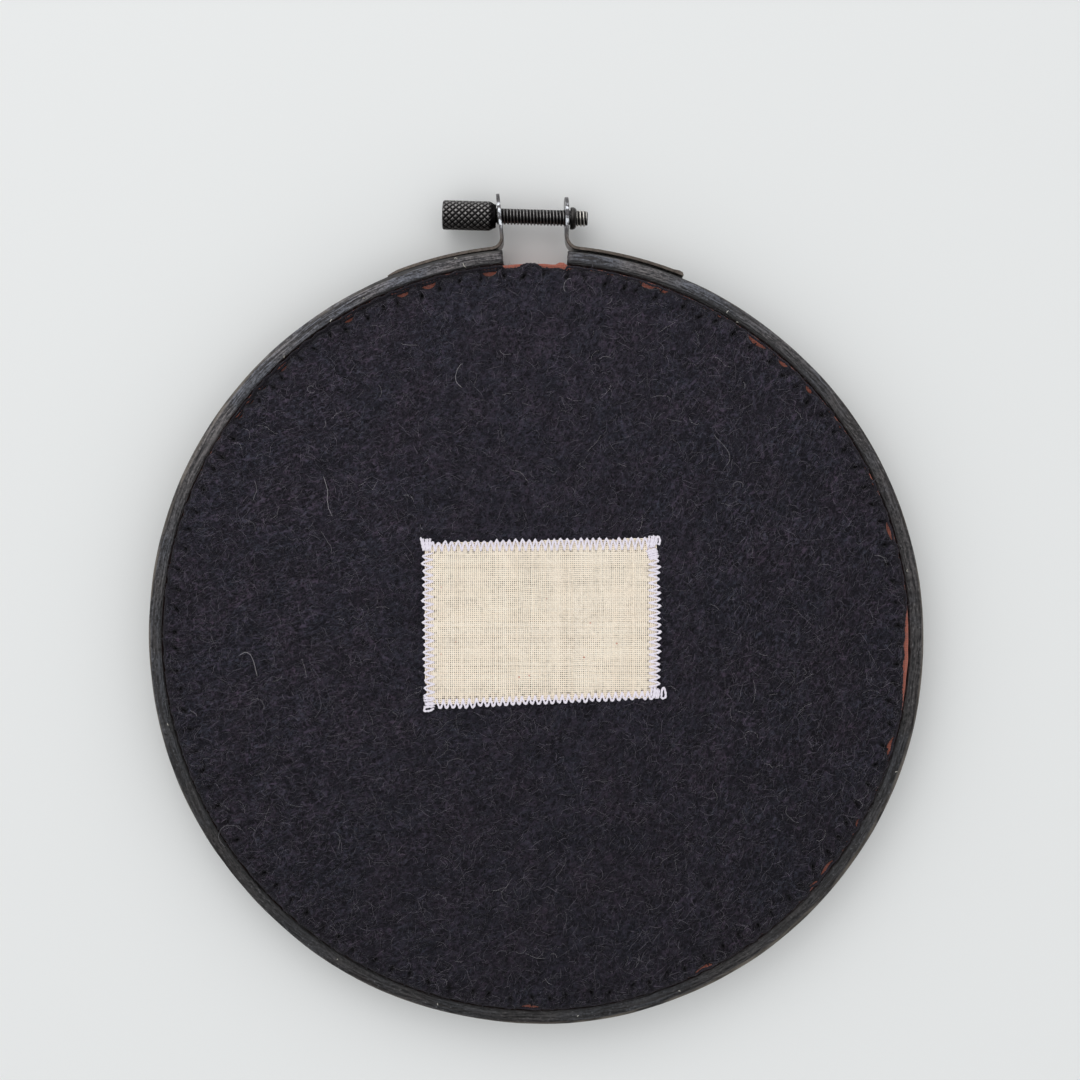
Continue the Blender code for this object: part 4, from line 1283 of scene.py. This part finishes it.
def make_stage():
    floor = add_mesh("floor", [(-2.0, -2.0, 0.0), (2.0, -2.0, 0.0), (2.0, 2.0, 0.0), (-2.0, 2.0, 0.0)],
                     [np.array([[0, 1, 2, 3]])], plain_material("floor_paper", (0.80, 0.805, 0.80), 0.9))
    floor.location.z = -0.00005


def make_lights():
    """A soft white room, and a large window up and to the left.

    Gloss sees the room as brighter towards the window and darker opposite, as the metal shows it.
    """
    world = bpy.data.worlds.new("soft_room")
    bpy.context.scene.world = world
    world.use_nodes = True
    nodes, links = world.node_tree.nodes, world.node_tree.links
    output = nodes["World Output"]
    even = nodes["Background"]
    even.inputs["Color"].default_value = (0.975, 0.99, 1.0, 1.0)
    even.inputs["Strength"].default_value = 0.918
    toward = nodes.new("ShaderNodeVectorMath")
    toward.operation = "DOT_PRODUCT"
    toward.inputs[1].default_value = Vector((-0.35, 0.80, 0.45)).normalized()
    place = nodes.new("ShaderNodeTexCoord")
    links.new(place.outputs["Generated"], toward.inputs[0])
    slope = nodes.new("ShaderNodeMapRange")
    slope.interpolation_type = "SMOOTHSTEP"
    for key, value in (("From Min", 0.0), ("From Max", 1.0), ("To Min", 0.10), ("To Max", 2.1)):
        slope.inputs[key].default_value = value
    links.new(toward.outputs["Value"], slope.inputs["Value"])
    sloping = nodes.new("ShaderNodeBackground")
    links.new(slope.outputs["Result"], sloping.inputs["Strength"])
    ray = nodes.new("ShaderNodeLightPath")
    mixed = nodes.new("ShaderNodeMixShader")
    links.new(ray.outputs["Is Glossy Ray"], mixed.inputs["Fac"])
    links.new(even.outputs["Background"], mixed.inputs[1])
    links.new(sloping.outputs["Background"], mixed.inputs[2])
    links.new(mixed.outputs["Shader"], output.inputs["Surface"])
    light = bpy.data.lights.new("window_light", "AREA")
    light.size = 0.45
    light.energy = 0.62
    lamp = bpy.data.objects.new("window_light", light)
    lamp.location = (-0.20, 0.40, 0.55)
    lamp.rotation_euler = (-lamp.location).to_track_quat("-Z", "Y").to_euler()
    bpy.context.scene.collection.objects.link(lamp)


# The photo's frame: pixel scale at the ring's top, and the hoop's centre in it
FRAME_PIXELS = 1080.0
PIXEL = OUTER_RADIUS / 388.0
HOOP_U, HOOP_V = 536.2, 636.5
CAMERA_RISE = 450.0 * MM


def make_camera():
    camera = bpy.data.cameras.new("camera")
    holder = bpy.data.objects.new("camera", camera)
    bpy.context.scene.collection.objects.link(holder)
    half_frame = FRAME_PIXELS / 2.0
    holder.location = ((half_frame - HOOP_U) * PIXEL, (HOOP_V - half_frame) * PIXEL, RING_TOP + CAMERA_RISE)
    camera.sensor_width = 36.0
    camera.lens = 36.0 * CAMERA_RISE / (FRAME_PIXELS * PIXEL)
    camera.clip_start = 0.01
    bpy.context.scene.camera = holder


def main():
    hoop, screw_body = "hoop", "thumbscrew"
    wood = wood_material("black_stained_wood")
    cotton = cotton_material("terracotta_cotton")
    # The black thread is a darker copy of the felted thread's wool: painted shade for the stitches sunk in
    # their grooves and the doubled run at the top left.
    shaded_black_thread = thread_material("shaded_black_thread", (0.004, 0.0035, 0.005), (0.020, 0.017, 0.024), 0.9, 0.05)
    grey_thread = thread_material("felted_thread", (0.005, 0.004, 0.007), (0.034, 0.029, 0.040), 0.9, 0.1)
    white_thread = thread_material("white_thread", (0.74, 0.69, 0.78), (0.97, 0.92, 0.99), 0.6, 0.1)

    cloth = make_cloth(cotton)
    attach(cloth, hoop)
    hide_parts("front_cloth")

    ring = make_ring(wood)
    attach(ring, hoop)
    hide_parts("outer_ring")
    specks = make_specks()
    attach(specks, hoop)

    felt = make_felt(felt_material("black_wool_felt"))
    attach(felt, hoop)
    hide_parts("felt_backing")
    fuzz = make_felt_hairs() + make_lint()
    fuzz += [make_stitches(shaded_black_thread)] + make_edge_run(grey_thread, shaded_black_thread)
    for piece in fuzz:
        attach(piece, hoop)

    # The label cloth's dark brown is painted shade, seen through the weave's holes.
    label = make_label_sheet(plain_material("shaded_label_cloth", (0.075, 0.042, 0.026), 0.9))
    yarns = make_label_weave(label_material("cream_cotton"))
    zigzag = make_label_sewing(white_thread)
    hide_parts("label")
    for piece in (label, yarns, zigzag):
        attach(piece, hoop)

    head = make_head(screw_material("worn_black_head", HEAD_RADIUS - 0.22 * MM, HEAD_RADIUS,
                                    (0.215, 0.208, 0.205)))
    rod = make_rod(screw_material("worn_black_rod", ROD_RADIUS - 0.26 * MM, ROD_RADIUS, (0.33, 0.32, 0.315),
                                  BARE_FROM))
    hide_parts("thumbscrew")
    for piece in (head, rod):
        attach(piece, screw_body)

    dark_plate = metal_material("dark_nut", (0.030, 0.028, 0.028), (0.10, 0.096, 0.092), 0.3, 0.5)
    nut = make_nut(dark_plate)
    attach(nut, hoop)
    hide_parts("clamp_nut")

    plate = metal_material("dark_nickel", (0.055, 0.052, 0.055), (0.17, 0.165, 0.172), 0.22, 0.42,
                           warm=(1.0, 0.88, 0.74))
    looks = {"clamp_bracket_left": plate, "clamp_bracket_right": plate, "inner_ring": wood}
    for node, look in looks.items():
        data = frame["nodes"][node].data
        data.materials.clear()
        data.materials.append(look)

    make_stage()
    make_lights()
    make_camera()
    bpy.context.scene.view_settings.view_transform = "Standard"
    bpy.context.scene.view_settings.look = "None"


main()
